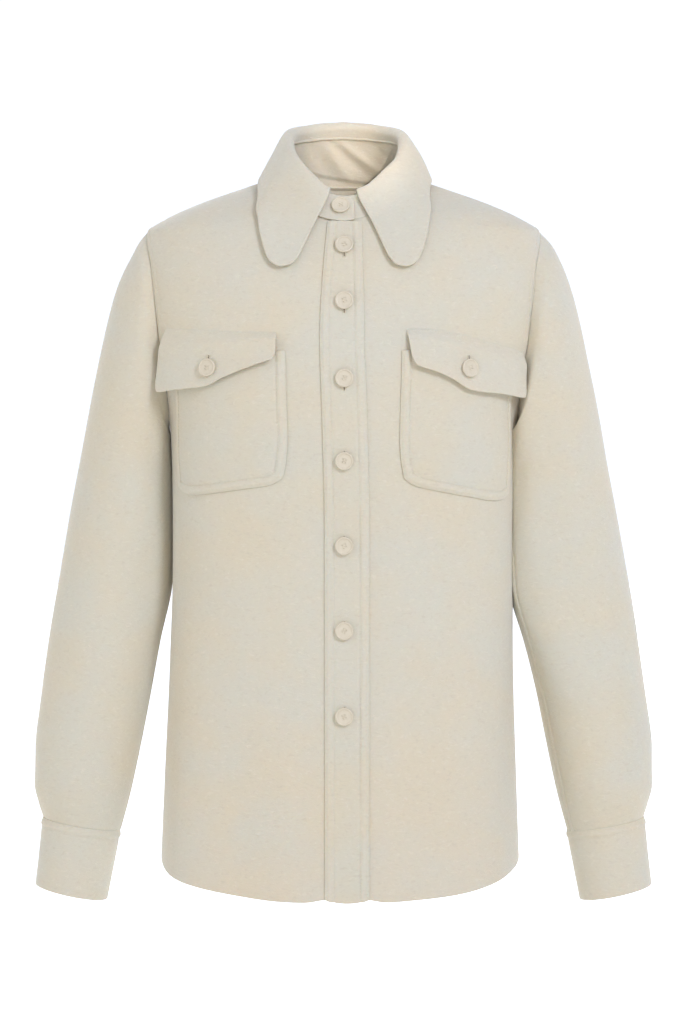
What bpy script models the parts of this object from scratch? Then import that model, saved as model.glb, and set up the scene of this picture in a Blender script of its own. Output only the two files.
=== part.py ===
"""A felted-wool shirt with a rounded collar, buttoned up and filled out as it is worn.

Sizes are in millimetres and angles in degrees until an object is made, which is in metres.
+Z is up, the front faces -Y and +X is the wearer's left. The origin lies midway between the two points
where the collar meets the shoulder seams, which is where a wearer carries the shirt.
"""

import bmesh
import bpy
import numpy as np
from mathutils import Matrix, Vector

MM = 0.001

# Cloth: single felted wool in the panels, two layers in the collar and cuffs.
CLOTH = 2.0
DOUBLE_CLOTH = 2.8
SEAM_GAP = 0.4
LAY_GAP = 0.6

# Sections of the body, from the hem up. Depths run from the side seam to the front and to the back.
BODY_COLUMNS = "height half_width front_depth back_depth squareness shift"
BODY_ROWS = [
    (-725, 181.0, 114, 110, 2.50, -3.5),
    (-600, 176.0, 109, 105, 2.50, -3.0),
    (-480, 171.5, 107, 99, 2.45, -2.0),
    (-390, 170.0, 108, 96, 2.40, -0.6),
    (-300, 170.8, 115, 99, 2.40, 0.0),
    (-245, 173.0, 119, 104, 2.40, 0.0),
    (-200, 182.5, 118, 108, 2.40, 0.0),
    (-149, 196.0, 113, 110, 2.40, 0.0),
    (-100, 201.0, 103, 108, 2.40, 0.0),
    (-75, 200.5, 94, 104, 2.40, 0.0),
    (-53, 195.5, 84, 98, 2.40, 0.0),
    (-40, 176.5, 76, 92, 2.40, 0.0),
    (-25, 143.5, 61, 83, 2.35, 0.0),
    (-10, 101.0, 44, 69, 2.30, 0.0),
    (-3, 80.0, 32, 59, 2.25, 0.0),
    (0, 69.0, 25, 52, 2.20, 0.0),
]
ARMPIT = -245.0
SHOULDER_TIP = -53.0

# Soft flutes of the body cloth. Each swells from nothing at its start to its depth at its end.
FLUTE_COLUMNS = "angle spread start end depth"
FLUTE_ROWS = [
    (-66, 9, -330, -690, 3.0),
    (-45, 8, -400, -700, -2.5),
    (-27, 7, -430, -700, 1.5),
    (33, 8, -380, -700, -2.0),
    (52, 9, -360, -690, 2.5),
    (74, 7, -340, -690, -2.0),
    (118, 9, -320, -690, 3.5),
    (140, 8, -360, -700, -3.0),
    (163, 10, -330, -700, 4.0),
    (198, 10, -330, -700, 3.5),
    (221, 8, -360, -700, -3.0),
    (243, 9, -320, -690, 3.5),
]

# The hem drops into a shirt tail at the front and back and rises at the side seams.
HEM = -709.0
HEM_RISE = 36.0
HEM_SWEEP = 1.6

# Neckline: an oval in plan that dips at the front.
NECK_HALF_WIDTH = 69.0
NECK_DIP_FRONT = 43.0
NECK_DIP_BACK = 4.0

# Armhole: how far it swings to the front and back of the side seam.
ARMHOLE_SWING_FRONT = 15.5
ARMHOLE_SWING_BACK = 17.0

# Front edges under the placket, and the placket laid over them.
FRONT_EDGE_RIGHT = -11.2
FRONT_EDGE_LEFT = -10.4
PLACKET_COLUMNS = "height middle half_width"
PLACKET_ROWS = [
    (-709, 3.4, 22.0),
    (-340, 3.2, 22.0),
    (-220, 0.4, 22.0),
    (-155, -1.6, 21.8),
    (-90, -0.4, 19.5),
    (-46, 1.0, 17.0),
]

# Sleeve sections: the outer and inner points of each ring seen from the front, and its depths from the
# middle line. The first row is the armhole, the last is the end that enters the cuff.
SLEEVE_COLUMNS = "outer_x outer_z inner_x inner_z front_depth back_depth middle_y"
SLEEVE_ROWS = [
    (195.5, -53, 173.0, -245, 49.5, 56, 0),
    (207.5, -66, 174.2, -247, 56, 60, 0),
    (217.0, -84, 174.5, -250, 60, 63, 1),
    (226.0, -108, 174.4, -256, 62, 65, 3),
    (236.0, -143, 173.8, -267, 63, 65, 6),
    (246.5, -190, 173.0, -286, 62, 64, 10),
    (257.5, -243, 172.4, -314, 61, 62, 14),
    (270.5, -312, 172.2, -352, 59, 60, 17),
    (282.5, -380, 175.8, -402, 58, 58, 17),
    (293.5, -446, 184.6, -462, 57, 57, 13),
    (303.0, -514, 197.0, -530, 56, 56, 7),
    (308.8, -567, 207.5, -583, 54, 54, 2),
    (308.8, -600, 214.5, -615, 50, 50, -2),
    (305.0, -622, 220.0, -636, 44, 44, -4),
    (301.0, -635, 223.5, -648.5, 39, 39, -5),
]
SLEEVE_CREASE_COLUMNS = "station turn station_spread turn_spread depth"
SLEEVE_CREASE_ROWS = [
    (5.6, 128, 0.9, 20, -2.5),
    (6.9, 112, 0.8, 24, 2.0),
    (8.2, 125, 0.9, 22, -2.0),
    (9.4, 60, 0.8, 30, -1.5),
    (5.8, 232, 0.9, 22, -2.5),
    (7.4, 246, 0.9, 24, 2.0),
    (8.6, 285, 0.9, 30, -2.0),
    (12.3, 75, 0.5, 18, 1.2),
    (12.3, 20, 0.5, 16, 1.2),
    (12.3, 250, 0.5, 18, 1.2),
]

# Cuff: rings in the same columns as the sleeve, with its ends lapped behind the wrist.
CUFF_ROWS = [
    (303.0, -635.6, 223.2, -649.2, 39.5, 39.5, -5),
    (303.2, -643, 225.0, -656.8, 39.5, 39.5, -5),
    (306.0, -672, 231.0, -687, 38.5, 38.5, -6),
    (309.6, -704, 237.4, -719.5, 37.5, 37.5, -7),
]
CUFF_LAP_MIDDLE = 292.0
CUFF_LAP = 36.0
CUFF_LAP_STEP = 4.2

# Collar: the stand's height, the rise from its top seam to the fold, by turn round the neck from the front.
COLLAR_COLUMNS = "turn stand rise"
COLLAR_ROWS = [
    (0, 22.0, 5.0),
    (15, 22.5, 5.2),
    (30, 26.0, 6.0),
    (45, 29.5, 7.5),
    (60, 32.5, 8.5),
    (90, 35.0, 11.0),
    (135, 40.5, 15.0),
    (180, 43.0, 17.0),
]
STAND_GAP = 1.0
STAND_LEAN = 0.185
STAND_UNDER_END = -9.0
STAND_OVER_END = 369.0
STAND_LAP = 3.5
FOLD_RADIUS = 3.9
COLLAR_LIFT = 2.6
COLLAR_BULGE = 2.2

# Collar edge: where it lies on the body, by turn round the neck. The first rows are the collar's point.
COLLAR_EDGE_COLUMNS = "turn angle height"
COLLAR_EDGE_ROWS = [
    (13, 24.5, -82),
    (16, 27.4, -90),
    (21, 31.8, -92),
    (27, 36.1, -88),
    (34, 39.6, -78),
    (44, 43.6, -62),
    (56, 48.3, -44),
    (68, 55.8, -27),
    (80, 67.5, -13),
    (93, 90.0, -3.0),
    (110, 113.0, -5.5),
    (135, 139.0, -11),
    (180, 180.0, -17),
]

# Pocket: its inner edge and bottom, and the angle where its outer edge wraps round the side.
POCKET_INNER_TOP = 59.0
POCKET_INNER_BOTTOM = 55.5
POCKET_OUTER_TOP = 68.5
POCKET_OUTER_BOTTOM = 79.0
POCKET_TOP_INNER = -171.0
POCKET_TOP_OUTER = -186.0
POCKET_BOTTOM_INNER = -300.0
POCKET_BOTTOM_OUTER = -319.0
POCKET_CORNER = 0.13
POCKET_BULGE = 2.6

# Flap: its top seam and shaped lower edge, by share of the way from its inner to its outer end.
FLAP_COLUMNS = "share top bottom"
FLAP_ROWS = [
    (0.00, -152.5, -186.0),
    (0.13, -152.6, -190.5),
    (0.26, -154.0, -194.5),
    (0.36, -156.4, -199.0),
    (0.45, -158.8, -204.5),
    (0.55, -161.4, -210.5),
    (0.63, -163.8, -212.5),
    (0.80, -168.8, -213.5),
    (1.00, -174.0, -216.0),
]
FLAP_INNER = 65.0
FLAP_OUTER_ANGLE = 73.0
FLAP_CORNER = 0.10
FLAP_CLEARANCE = 1.2
FLAP_LIFT = 5.0
FLAP_CORNER_LIFT = 9.0

# Buttons, with the heights of those on the placket. A flap's button is placed by share of its width and depth.
BUTTON_RADIUS = 8.9
BUTTON_THICKNESS = 3.6
BUTTON_RIM = 1.9
BUTTON_DISH = 0.7
BUTTON_STEPS = 14
PLACKET_BUTTONS = (-70.5, -124, -198.5, -278, -360.5, -443.5, -527)
PLACKET_BUTTON_X = 0.6
COLLAR_BUTTON_TURN = 357.5
COLLAR_BUTTON_SHARE = 0.5
FLAP_BUTTON_LEFT = (0.48, 0.62)
FLAP_BUTTON_RIGHT = (0.555, 0.54)
CUFF_BUTTON_ALONG = 382.0
CUFF_BUTTON_STATION = 1.9

# Mesh density: spans across and along each piece.
FRONT_SPANS = 11
FRONT_ROWS_LOW = 11
FRONT_ROWS_EDGE = 6
FRONT_ROWS_NECK = 7
BACK_SPANS_SHOULDER = 5
BACK_SPANS_NECK = 10
SLEEVE_SPANS = 22
SLEEVE_RINGS = 22
CUFF_SPANS = 33
CUFF_RINGS = 3
STAND_SPANS = 42
STAND_RINGS = 3
COLLAR_SPANS = 40
COLLAR_RISE_SHARES = (0.0, 0.1, 0.16, 0.22, 0.28, 0.42, 0.6, 0.8, 1.0)
PLACKET_SPANS = 4
PLACKET_ROWS_LONG = 24
POCKET_SPANS = 9
FLAP_SPANS = 12
FLAP_ROWS_DEEP = 5

CREAM_WOOL = (0.70, 0.64, 0.52)
CREAM_BUTTON = (0.72, 0.66, 0.54)


def columns(names, rows):
    """A table as one array for each named column."""
    return dict(zip(names.split(), np.array(rows, float).T))


BODY = columns(BODY_COLUMNS, BODY_ROWS)
FLUTES = columns(FLUTE_COLUMNS, FLUTE_ROWS)
SLEEVE = columns(SLEEVE_COLUMNS, SLEEVE_ROWS)
SLEEVE_CREASES = columns(SLEEVE_CREASE_COLUMNS, SLEEVE_CREASE_ROWS)
CUFF = columns(SLEEVE_COLUMNS, CUFF_ROWS)
PLACKET = columns(PLACKET_COLUMNS, PLACKET_ROWS)
COLLAR = columns(COLLAR_COLUMNS, COLLAR_ROWS)
COLLAR_EDGE = columns(COLLAR_EDGE_COLUMNS, COLLAR_EDGE_ROWS)
FLAP = columns(FLAP_COLUMNS, FLAP_ROWS)


def smooth(knots, values, at):
    """A curve through the knots that never swells past its table (monotone cubic)."""
    knots = np.asarray(knots, float)
    values = np.asarray(values, float)
    at = np.clip(at, knots[0], knots[-1])
    shape = (-1,) + (1,) * (values.ndim - 1)
    width = np.diff(knots).reshape(shape)
    slope = np.diff(values, axis=0) / width
    product = slope[:-1] * slope[1:]
    total = slope[:-1] + slope[1:]
    inner = np.where(product > 0, 2 * product / np.where(total == 0, 1, total), 0)
    tangent = np.concatenate([slope[:1], inner, slope[-1:]])
    i = np.clip(np.searchsorted(knots, at, side="right") - 1, 0, len(width) - 1)
    step = np.diff(knots)[i]
    t = (at - knots[i]) / step
    more = t.shape + (1,) * (values.ndim - 1)
    t = t.reshape(more)
    step = step.reshape(more)
    start = values[i] * (1 + 2 * t) * (1 - t) ** 2 + tangent[i] * step * t * (1 - t) ** 2
    end = values[i + 1] * t**2 * (3 - 2 * t) + tangent[i + 1] * step * t**2 * (t - 1)
    return start + end


def ease(share):
    """0 to 1 with a gentle start and end."""
    share = np.clip(share, 0, 1)
    return share * share * (3 - 2 * share)


def unit(vectors):
    return vectors / np.linalg.norm(vectors, axis=-1, keepdims=True)


def section(height):
    """Each column of the body's table at these heights."""
    return {name: smooth(BODY["height"], BODY[name], height) for name in BODY}


def flute_depth(angle, height):
    """How far the flutes push the body cloth out or in."""
    total = np.zeros(np.broadcast(angle, height).shape)
    for middle, spread, start, end, depth in FLUTE_ROWS:
        away = (angle - middle + 180) % 360 - 180
        total = total + depth * np.exp(-((away / spread) ** 2)) * ease((start - height) / (start - end))
    return total


def body(angle, height):
    """A point of the body's outer face. The angle runs from the front through +X to the back."""
    angle, height = np.broadcast_arrays(np.asarray(angle, float), np.asarray(height, float))
    at = section(height)
    sine = np.sin(np.radians(angle))
    cosine = np.cos(np.radians(angle))
    depth = np.where(cosine > 0, at["front_depth"], at["back_depth"])
    power = at["squareness"]
    reach = ((np.abs(sine) / at["half_width"]) ** power + (np.abs(cosine) / depth) ** power) ** (-1 / power)
    reach = reach + flute_depth(angle, height)
    return np.stack([at["shift"] + reach * sine, -reach * cosine, height], axis=-1)


def body_normal(angle, height):
    """The outward direction of the body's face."""
    turn, rise = 0.5, 0.5
    along = body(angle + turn, height) - body(angle - turn, height)
    up = body(angle, height + rise) - body(angle, height - rise)
    return unit(np.cross(along, up))


def on_body(angle, height, lift):
    """A point that stands off the body's face."""
    return body(angle, height) + body_normal(angle, height) * np.asarray(lift)[..., None]


def front_angle(x, height):
    """The angle of the front point with this x."""
    at = section(np.asarray(height, float))
    across = (x - at["shift"]) / at["half_width"]
    share = np.clip(1 - np.abs(across) ** at["squareness"], 0, 1) ** (1 / at["squareness"])
    return np.degrees(np.arctan2(x - at["shift"], at["front_depth"] * share))


def hem_height(angle):
    """The hem's height round the body."""
    return HEM + HEM_RISE * (1 - np.abs(np.cos(np.radians(angle)))) ** HEM_SWEEP


def neckline(turn):
    """(angle, height) of the neckline on the body, by turn round the neck from the front."""
    turn = np.radians(np.asarray(turn, float))
    x = NECK_HALF_WIDTH * np.sin(turn)
    dip = np.where(np.cos(turn) > 0, NECK_DIP_FRONT, NECK_DIP_BACK)
    height = -dip * np.cos(turn) ** 2
    at = section(height)
    across = np.clip(np.abs(x) / at["half_width"], 0, 1)
    share = (1 - across ** at["squareness"]) ** (1 / at["squareness"])
    depth = np.where(np.cos(turn) > 0, at["front_depth"], -at["back_depth"])
    return np.degrees(np.arctan2(x, depth * share)), height


def armhole(turn):
    """(angle, height) of the left armhole on the body, by turn from the shoulder through the front."""
    turn = np.radians(np.asarray(turn, float))
    middle, half = (SHOULDER_TIP + ARMPIT) / 2, (SHOULDER_TIP - ARMPIT) / 2
    swing = np.where(np.sin(turn) > 0, ARMHOLE_SWING_FRONT, ARMHOLE_SWING_BACK)
    return 90 - swing * np.sin(turn), middle + half * np.cos(turn)


def fill_patch(bottom, top, left, right):
    """A grid between four edges of (angle, height) points (Coons patch)."""
    across = np.linspace(0, 1, len(bottom))[None, :, None]
    up = np.linspace(0, 1, len(left))[:, None, None]
    lengthwise = (1 - up) * bottom[None] + up * top[None]
    crosswise = (1 - across) * left[:, None] + across * right[:, None]
    low = (1 - across) * bottom[0] + across * bottom[-1]
    high = (1 - across) * top[0] + across * top[-1]
    return lengthwise + crosswise - (1 - up) * low - up * high


def pairs(angle, height):
    angle, height = np.broadcast_arrays(np.asarray(angle, float), np.asarray(height, float))
    return np.stack([angle, height], axis=-1)


def below_armpit(angles, rows):
    """The grid from the hem up to the armpit, for these angles along the armpit."""
    share = np.linspace(0, 1, rows + 1)[:, None]
    hem = hem_height(angles)[None, :]
    return pairs(angles[None, :] + 0 * share, hem + (ARMPIT - hem) * share)


def front_panel(side):
    """The outer points of a front, from the front edge to the side seam. Side 1 is the wearer's left."""
    edge_x = FRONT_EDGE_LEFT if side > 0 else FRONT_EDGE_RIGHT
    spans = np.linspace(0, 1, FRONT_SPANS + 1)
    start = side * front_angle(edge_x, ARMPIT)
    bottom = pairs(start + (90 - start) * spans, ARMPIT)
    top = pairs(90.0, SHOULDER_TIP * spans)
    neck_start = side * np.degrees(np.arcsin(edge_x / NECK_HALF_WIDTH))
    neck_angle, neck_height = neckline(np.linspace(neck_start, 90, FRONT_ROWS_NECK + 1))
    edge_height = np.linspace(ARMPIT, neck_height[0], FRONT_ROWS_EDGE + 1)
    edge = pairs(side * front_angle(edge_x, edge_height), edge_height)
    left = np.concatenate([edge, pairs(neck_angle, neck_height)[1:]])
    right = pairs(*armhole(np.linspace(180, 0, len(left))))
    chest = fill_patch(bottom, top, left, right)
    grid = np.concatenate([below_armpit(bottom[:, 0], FRONT_ROWS_LOW), chest[1:]])
    angle, height = side * grid[..., 0], grid[..., 1]
    low = height < ARMPIT
    fade = np.where(low, 1 - spans[None, :], 0)
    angle = angle + fade * (front_angle(edge_x, height) - side * start)
    points = body(angle, height) + [0, -SEAM_GAP / 2, 0]
    return points[:, ::side], body_normal(angle, height)[:, ::side]


def back_panel():
    """The outer points of the back, from the left side seam to the right one."""
    spans = 2 * BACK_SPANS_SHOULDER + BACK_SPANS_NECK
    angles = np.linspace(90, 270, spans + 1)
    bottom = pairs(angles, ARMPIT)
    shoulder = np.linspace(SHOULDER_TIP, 0, BACK_SPANS_SHOULDER + 1)
    neck_angle, neck_height = neckline(np.linspace(90, 270, BACK_SPANS_NECK + 1))
    top = np.concatenate(
        [pairs(90.0, shoulder), pairs(neck_angle % 360, neck_height)[1:-1], pairs(270.0, shoulder[::-1])]
    )
    rows = FRONT_ROWS_EDGE + FRONT_ROWS_NECK
    left = pairs(*armhole(np.linspace(180, 360, rows + 1)))
    right = left * [-1, 1] + [360, 0]
    shoulders = fill_patch(bottom, top, left, right)
    grid = np.concatenate([below_armpit(angles, FRONT_ROWS_LOW), shoulders[1:]])
    points = body(grid[..., 0], grid[..., 1]) + [0, SEAM_GAP / 2, 0]
    return points, body_normal(grid[..., 0], grid[..., 1])


def ring_points(table, station, turn):
    """Points of a tube's rings. The turn runs from the outer point through the front."""
    at = {name: smooth(np.arange(len(table[name])), table[name], station)[:, None] for name in table}
    cosine, sine = np.cos(np.radians(turn)), np.sin(np.radians(turn))
    middle_x, half_x = (at["outer_x"] + at["inner_x"]) / 2, (at["outer_x"] - at["inner_x"]) / 2
    middle_z, half_z = (at["outer_z"] + at["inner_z"]) / 2, (at["outer_z"] - at["inner_z"]) / 2
    depth = np.where(sine > 0, at["front_depth"], at["back_depth"])
    y = at["middle_y"] - depth * sine
    return np.stack([middle_x + half_x * cosine, y, middle_z + half_z * cosine], axis=-1)


def sleeve_creases(station, turn):
    total = np.zeros(np.broadcast(station, turn).shape)
    for at, middle, station_spread, turn_spread, depth in SLEEVE_CREASE_ROWS:
        away = (turn - middle + 180) % 360 - 180
        off = ((station - at) / station_spread) ** 2 + (away / turn_spread) ** 2
        total = total + depth * np.exp(-off)
    return total


def sleeve():
    """The outer points of the left sleeve, ring by ring from the armhole to the cuff."""
    turn = np.linspace(0, 360, SLEEVE_SPANS + 1)[:-1]
    station = np.linspace(0, len(SLEEVE_ROWS) - 1, SLEEVE_RINGS + 1)
    rings = ring_points(SLEEVE, station, turn)
    seam = body(*armhole(turn)) - ring_points(SLEEVE, np.zeros(1), turn)[0]
    rings = rings + seam[None] * (1 - ease(station / 4))[:, None, None]
    middle = rings.mean(axis=1, keepdims=True)
    rings = rings + unit(rings - middle) * sleeve_creases(station[:, None], turn[None, :])[..., None]
    rings[0] = rings[0] + unit(rings[1] - rings[0]) * SEAM_GAP
    return rings


def cuff_face(along, station):
    """Points of the left cuff's outer face. Along runs round the wrist from the under end, in degrees."""
    turn = along + CUFF_LAP_MIDDLE - CUFF_LAP / 2
    rings = ring_points(CUFF, station, turn)
    middle = ring_points(CUFF, station, np.array([0.0, 180.0])).mean(axis=1, keepdims=True)
    lap = CUFF_LAP_STEP * (along / (360 + CUFF_LAP) - 0.5)
    return rings + unit(rings - middle) * lap[None, :, None]


def cuff():
    """The outer points of the left cuff, an open band whose ends lap."""
    along = np.linspace(0, 360 + CUFF_LAP, CUFF_SPANS + 1)
    return cuff_face(along, np.linspace(0, len(CUFF_ROWS) - 1, CUFF_RINGS + 1))


def from_front(turn):
    """The turn folded to 0 at the front and 180 at the back."""
    return np.abs((np.asarray(turn, float) + 180) % 360 - 180)


def stand(turn, share):
    """Points of the collar stand's outer face, by turn round the neck and share of its height."""
    turn, share = np.broadcast_arrays(np.asarray(turn, float), np.asarray(share, float))
    base = body(*neckline(turn))
    height = smooth(COLLAR["turn"], COLLAR["stand"], from_front(turn))
    plan = base * [1, 1, 0]
    lap = STAND_LAP * (turn - STAND_UNDER_END) / (STAND_OVER_END - STAND_UNDER_END)
    points = plan * (1 - STAND_LEAN * share)[..., None] + unit(plan) * lap[..., None]
    points[..., 2] = base[..., 2] + STAND_GAP + height * share
    return points


def collar_stand():
    turn = np.linspace(STAND_UNDER_END, STAND_OVER_END, STAND_SPANS + 1)[None, :]
    return stand(turn, np.linspace(0, 1, STAND_RINGS + 1)[:, None])


def collar_edge(turn):
    """The collar's free edge, which lies just off the body."""
    fold = from_front(turn)
    mirrored = np.sign((turn + 180) % 360 - 180)
    angle = smooth(COLLAR_EDGE["turn"], COLLAR_EDGE["angle"], fold)
    height = smooth(COLLAR_EDGE["turn"], COLLAR_EDGE["height"], fold)
    return on_body(mirrored * angle, height, np.full(turn.shape, COLLAR_LIFT + DOUBLE_CLOTH))


def collar():
    """The collar's upper face, from its seam on the stand, over the fold and down to its edge."""
    half = np.concatenate([COLLAR_EDGE["turn"][:5], np.linspace(40, 180, COLLAR_SPANS // 2 - 4)])
    turn = np.concatenate([half, 360 - half[-2::-1]])
    top = stand(turn, np.ones_like(turn))
    out = unit(top * [1, 1, 0])
    up = np.array([0.0, 0.0, 1.0])
    rise = smooth(COLLAR["turn"], COLLAR["rise"], from_front(turn))[:, None]
    seam = top - out * DOUBLE_CLOTH + up * STAND_GAP
    below_fold = seam + up * (rise - FOLD_RADIUS) - out * rise * STAND_LEAN
    crown = below_fold + (out + up) * FOLD_RADIUS
    over = below_fold + out * 2 * FOLD_RADIUS
    edge = collar_edge(turn)
    halfway = (over + edge) / 2 + unit(out + 0.6 * up) * COLLAR_BULGE
    knots = (0.0, 0.1, 0.19, 0.28, 0.62, 1.0)
    path = np.stack([seam, below_fold, crown, over, halfway, edge])
    return smooth(knots, path, np.array(COLLAR_RISE_SHARES))


def placket():
    """The placket's outer face, over both front edges."""
    rows = np.linspace(0, 1, PLACKET_ROWS_LONG + 1)[:, None]
    low, high = PLACKET["height"][0], PLACKET["height"][-1]
    height = low + (high - low) * rows
    across = np.linspace(-1, 1, PLACKET_SPANS + 1)[None, :]
    middle = smooth(PLACKET["height"], PLACKET["middle"], height)
    half = smooth(PLACKET["height"], PLACKET["half_width"], height)
    height = height + 0 * across
    lift = np.full(height.shape, LAY_GAP + CLOTH)
    return on_body(front_angle(middle + half * across, height), height, lift) + [0, -SEAM_GAP / 2, 0]


def round_corners(grid, corner):
    """A unit square's grid (share across, share down) with its two lower corners rounded."""
    across, down = grid[..., 0] * 2 - 1, grid[..., 1]
    deep = np.clip((down - 1 + 2 * corner) / (2 * corner), 0, 1)
    wide = np.clip((np.abs(across) - 1 + 2 * corner) / (2 * corner), 0, 1)
    pull = 0.42 * corner * deep**2 * wide**2
    return np.stack([(across - np.sign(across) * 2 * pull + 1) / 2, down - pull], axis=-1)


def unit_grid(across, down):
    return np.stack(np.meshgrid(np.linspace(0, 1, across + 1), np.linspace(0, 1, down + 1)), axis=-1)


def pocket(side):
    """The pocket's outer face, laid on its front from the top down."""
    grid = round_corners(unit_grid(POCKET_SPANS, POCKET_SPANS), POCKET_CORNER)
    across, down = grid[..., 0], grid[..., 1]
    top = POCKET_TOP_INNER + (POCKET_TOP_OUTER - POCKET_TOP_INNER) * across
    bottom = POCKET_BOTTOM_INNER + (POCKET_BOTTOM_OUTER - POCKET_BOTTOM_INNER) * across
    height = top + (bottom - top) * down
    inner_x = POCKET_INNER_TOP + (POCKET_INNER_BOTTOM - POCKET_INNER_TOP) * down
    inner = front_angle(side * inner_x, height) * side
    outer = POCKET_OUTER_TOP + (POCKET_OUTER_BOTTOM - POCKET_OUTER_TOP) * down
    swell = POCKET_BULGE * np.sin(np.pi * across) * np.sin(np.pi * np.clip(down, 0, 1) ** 0.8)
    points = on_body(side * (inner + (outer - inner) * across), height, LAY_GAP + CLOTH + swell)
    return (points + [0, -SEAM_GAP / 2, 0])[::-1, ::side]


def flap_face(side, share, down):
    """Points of a flap's outer face, by share of its width and of its depth."""
    top = smooth(FLAP["share"], FLAP["top"], share)
    bottom = smooth(FLAP["share"], FLAP["bottom"], share)
    height = top + (bottom - top) * down
    inner = front_angle(side * FLAP_INNER, height) * side
    angle = side * (inner + (FLAP_OUTER_ANGLE - inner) * share)
    over_pocket = CLOTH + LAY_GAP + FLAP_CLEARANCE
    lift = LAY_GAP + CLOTH + over_pocket * ease(down / 0.35) + FLAP_LIFT * down**2
    lift = lift + FLAP_CORNER_LIFT * share**3 * down
    return on_body(angle, height, lift) + [0, -SEAM_GAP / 2, 0]


def flap(side):
    grid = round_corners(unit_grid(FLAP_SPANS, FLAP_ROWS_DEEP), FLAP_CORNER)
    return flap_face(side, grid[..., 0], grid[..., 1])[::-1, ::side]


def new_material(name, colour, roughness):
    material = bpy.data.materials.new(name)
    material.use_nodes = True
    shader = material.node_tree.nodes["Principled BSDF"]
    shader.inputs["Base Color"].default_value = (*colour, 1.0)
    shader.inputs["Roughness"].default_value = roughness
    shader.inputs["Metallic"].default_value = 0.0
    return material


def add_object(name, mesh, material):
    mesh.materials.append(material)
    mesh.shade_smooth()
    mesh.set_sharp_from_angle(angle=np.radians(50))
    shape = bpy.data.objects.new(name, mesh)
    bpy.context.scene.collection.objects.link(shape)
    return shape


def sheet_normals(points, tube):
    """The outward direction at each point of a sheet."""
    along = np.gradient(points, axis=0)
    if tube:
        across = np.roll(points, -1, axis=1) - np.roll(points, 1, axis=1)
    else:
        across = np.gradient(points, axis=1)
    return unit(np.cross(across, along))


def add_cloth(name, points, wall, material, tube=False, outward=None):
    """A cloth piece: a sheet through the points, thickened inwards. A tube closes each row on itself."""
    rows, spans = points.shape[:2]
    if outward is None:
        outward = sheet_normals(points, tube)
    shell = bmesh.new()
    outer = [[shell.verts.new(p * MM) for p in row] for row in points]
    inner = [[shell.verts.new(p * MM) for p in row] for row in points - outward * wall]
    steps = range(spans if tube else spans - 1)
    for i in range(rows - 1):
        for j in steps:
            k = (j + 1) % spans
            shell.faces.new((outer[i][j], outer[i][k], outer[i + 1][k], outer[i + 1][j]))
            shell.faces.new((inner[i][j], inner[i + 1][j], inner[i + 1][k], inner[i][k]))
    for j in steps:
        k = (j + 1) % spans
        shell.faces.new((inner[0][j], inner[0][k], outer[0][k], outer[0][j]))
        shell.faces.new((outer[-1][j], outer[-1][k], inner[-1][k], inner[-1][j]))
    for i in range(0 if tube else rows - 1):
        shell.faces.new((outer[i][0], outer[i + 1][0], inner[i + 1][0], inner[i][0]))
        shell.faces.new((inner[i][-1], inner[i + 1][-1], outer[i + 1][-1], outer[i][-1]))
    mesh = bpy.data.meshes.new(name)
    shell.to_mesh(mesh)
    shell.free()
    return add_object(name, mesh, material)


def add_button(name, seat, outward, material):
    """A turned button with a raised rim and a shallow dish, resting just off the cloth."""
    dish = BUTTON_THICKNESS - BUTTON_DISH
    profile = [
        (0.0, dish),
        (BUTTON_RADIUS - BUTTON_RIM, dish),
        (BUTTON_RADIUS - BUTTON_RIM * 0.6, BUTTON_THICKNESS),
        (BUTTON_RADIUS - BUTTON_RIM * 0.2, BUTTON_THICKNESS),
        (BUTTON_RADIUS, BUTTON_THICKNESS * 0.6),
        (BUTTON_RADIUS - BUTTON_RIM, 0.0),
        (0.0, 0.0),
    ]
    mesh = bpy.data.meshes.new(name)
    edges = [(i, i + 1) for i in range(len(profile) - 1)]
    mesh.from_pydata([(r * MM, 0.0, z * MM) for r, z in profile], edges, [])
    shape = add_object(name, mesh, material)
    turning = shape.modifiers.new("turn", "SCREW")
    turning.steps = turning.render_steps = BUTTON_STEPS
    turning.use_merge_vertices = True
    turning.merge_threshold = 0.00001
    facing = Vector(outward).to_track_quat("Z", "Y").to_matrix().to_4x4()
    shape.matrix_world = Matrix.Translation(Vector(seat + outward * LAY_GAP) * MM) @ facing
    return shape


def face_direction(face, first, second):
    """The outward direction of a face given as a function of two places on it."""
    step = 0.01
    along = face(first + step, second) - face(first - step, second)
    across = face(first, second + step) - face(first, second - step)
    return unit(np.cross(along, across))


def mirrored(points):
    return points * [-1, 1, 1]


def add_flap_button(side, name, material):
    def face(share, down):
        return flap_face(side, np.array(share), np.array(down))

    place = FLAP_BUTTON_LEFT if side > 0 else FLAP_BUTTON_RIGHT
    add_button(name, face(*place), -side * face_direction(face, *place), material)


def add_placket_buttons(material):
    for number, height in enumerate(PLACKET_BUTTONS, start=1):
        angle = front_angle(PLACKET_BUTTON_X, height)
        outward = body_normal(angle, height)
        seat = body(angle, height) + outward * (LAY_GAP + CLOTH) + [0, -SEAM_GAP / 2, 0]
        add_button(f"button_placket_{number}", seat, outward, material)


def add_cuff_buttons(material):
    def face(along, station):
        return cuff_face(np.array([along]), np.array([station]))[0, 0]

    seat = face(CUFF_BUTTON_ALONG, CUFF_BUTTON_STATION)
    outward = face_direction(face, CUFF_BUTTON_ALONG, CUFF_BUTTON_STATION)
    add_button("button_cuff_left", seat, outward, material)
    add_button("button_cuff_right", mirrored(seat), mirrored(outward), material)


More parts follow.
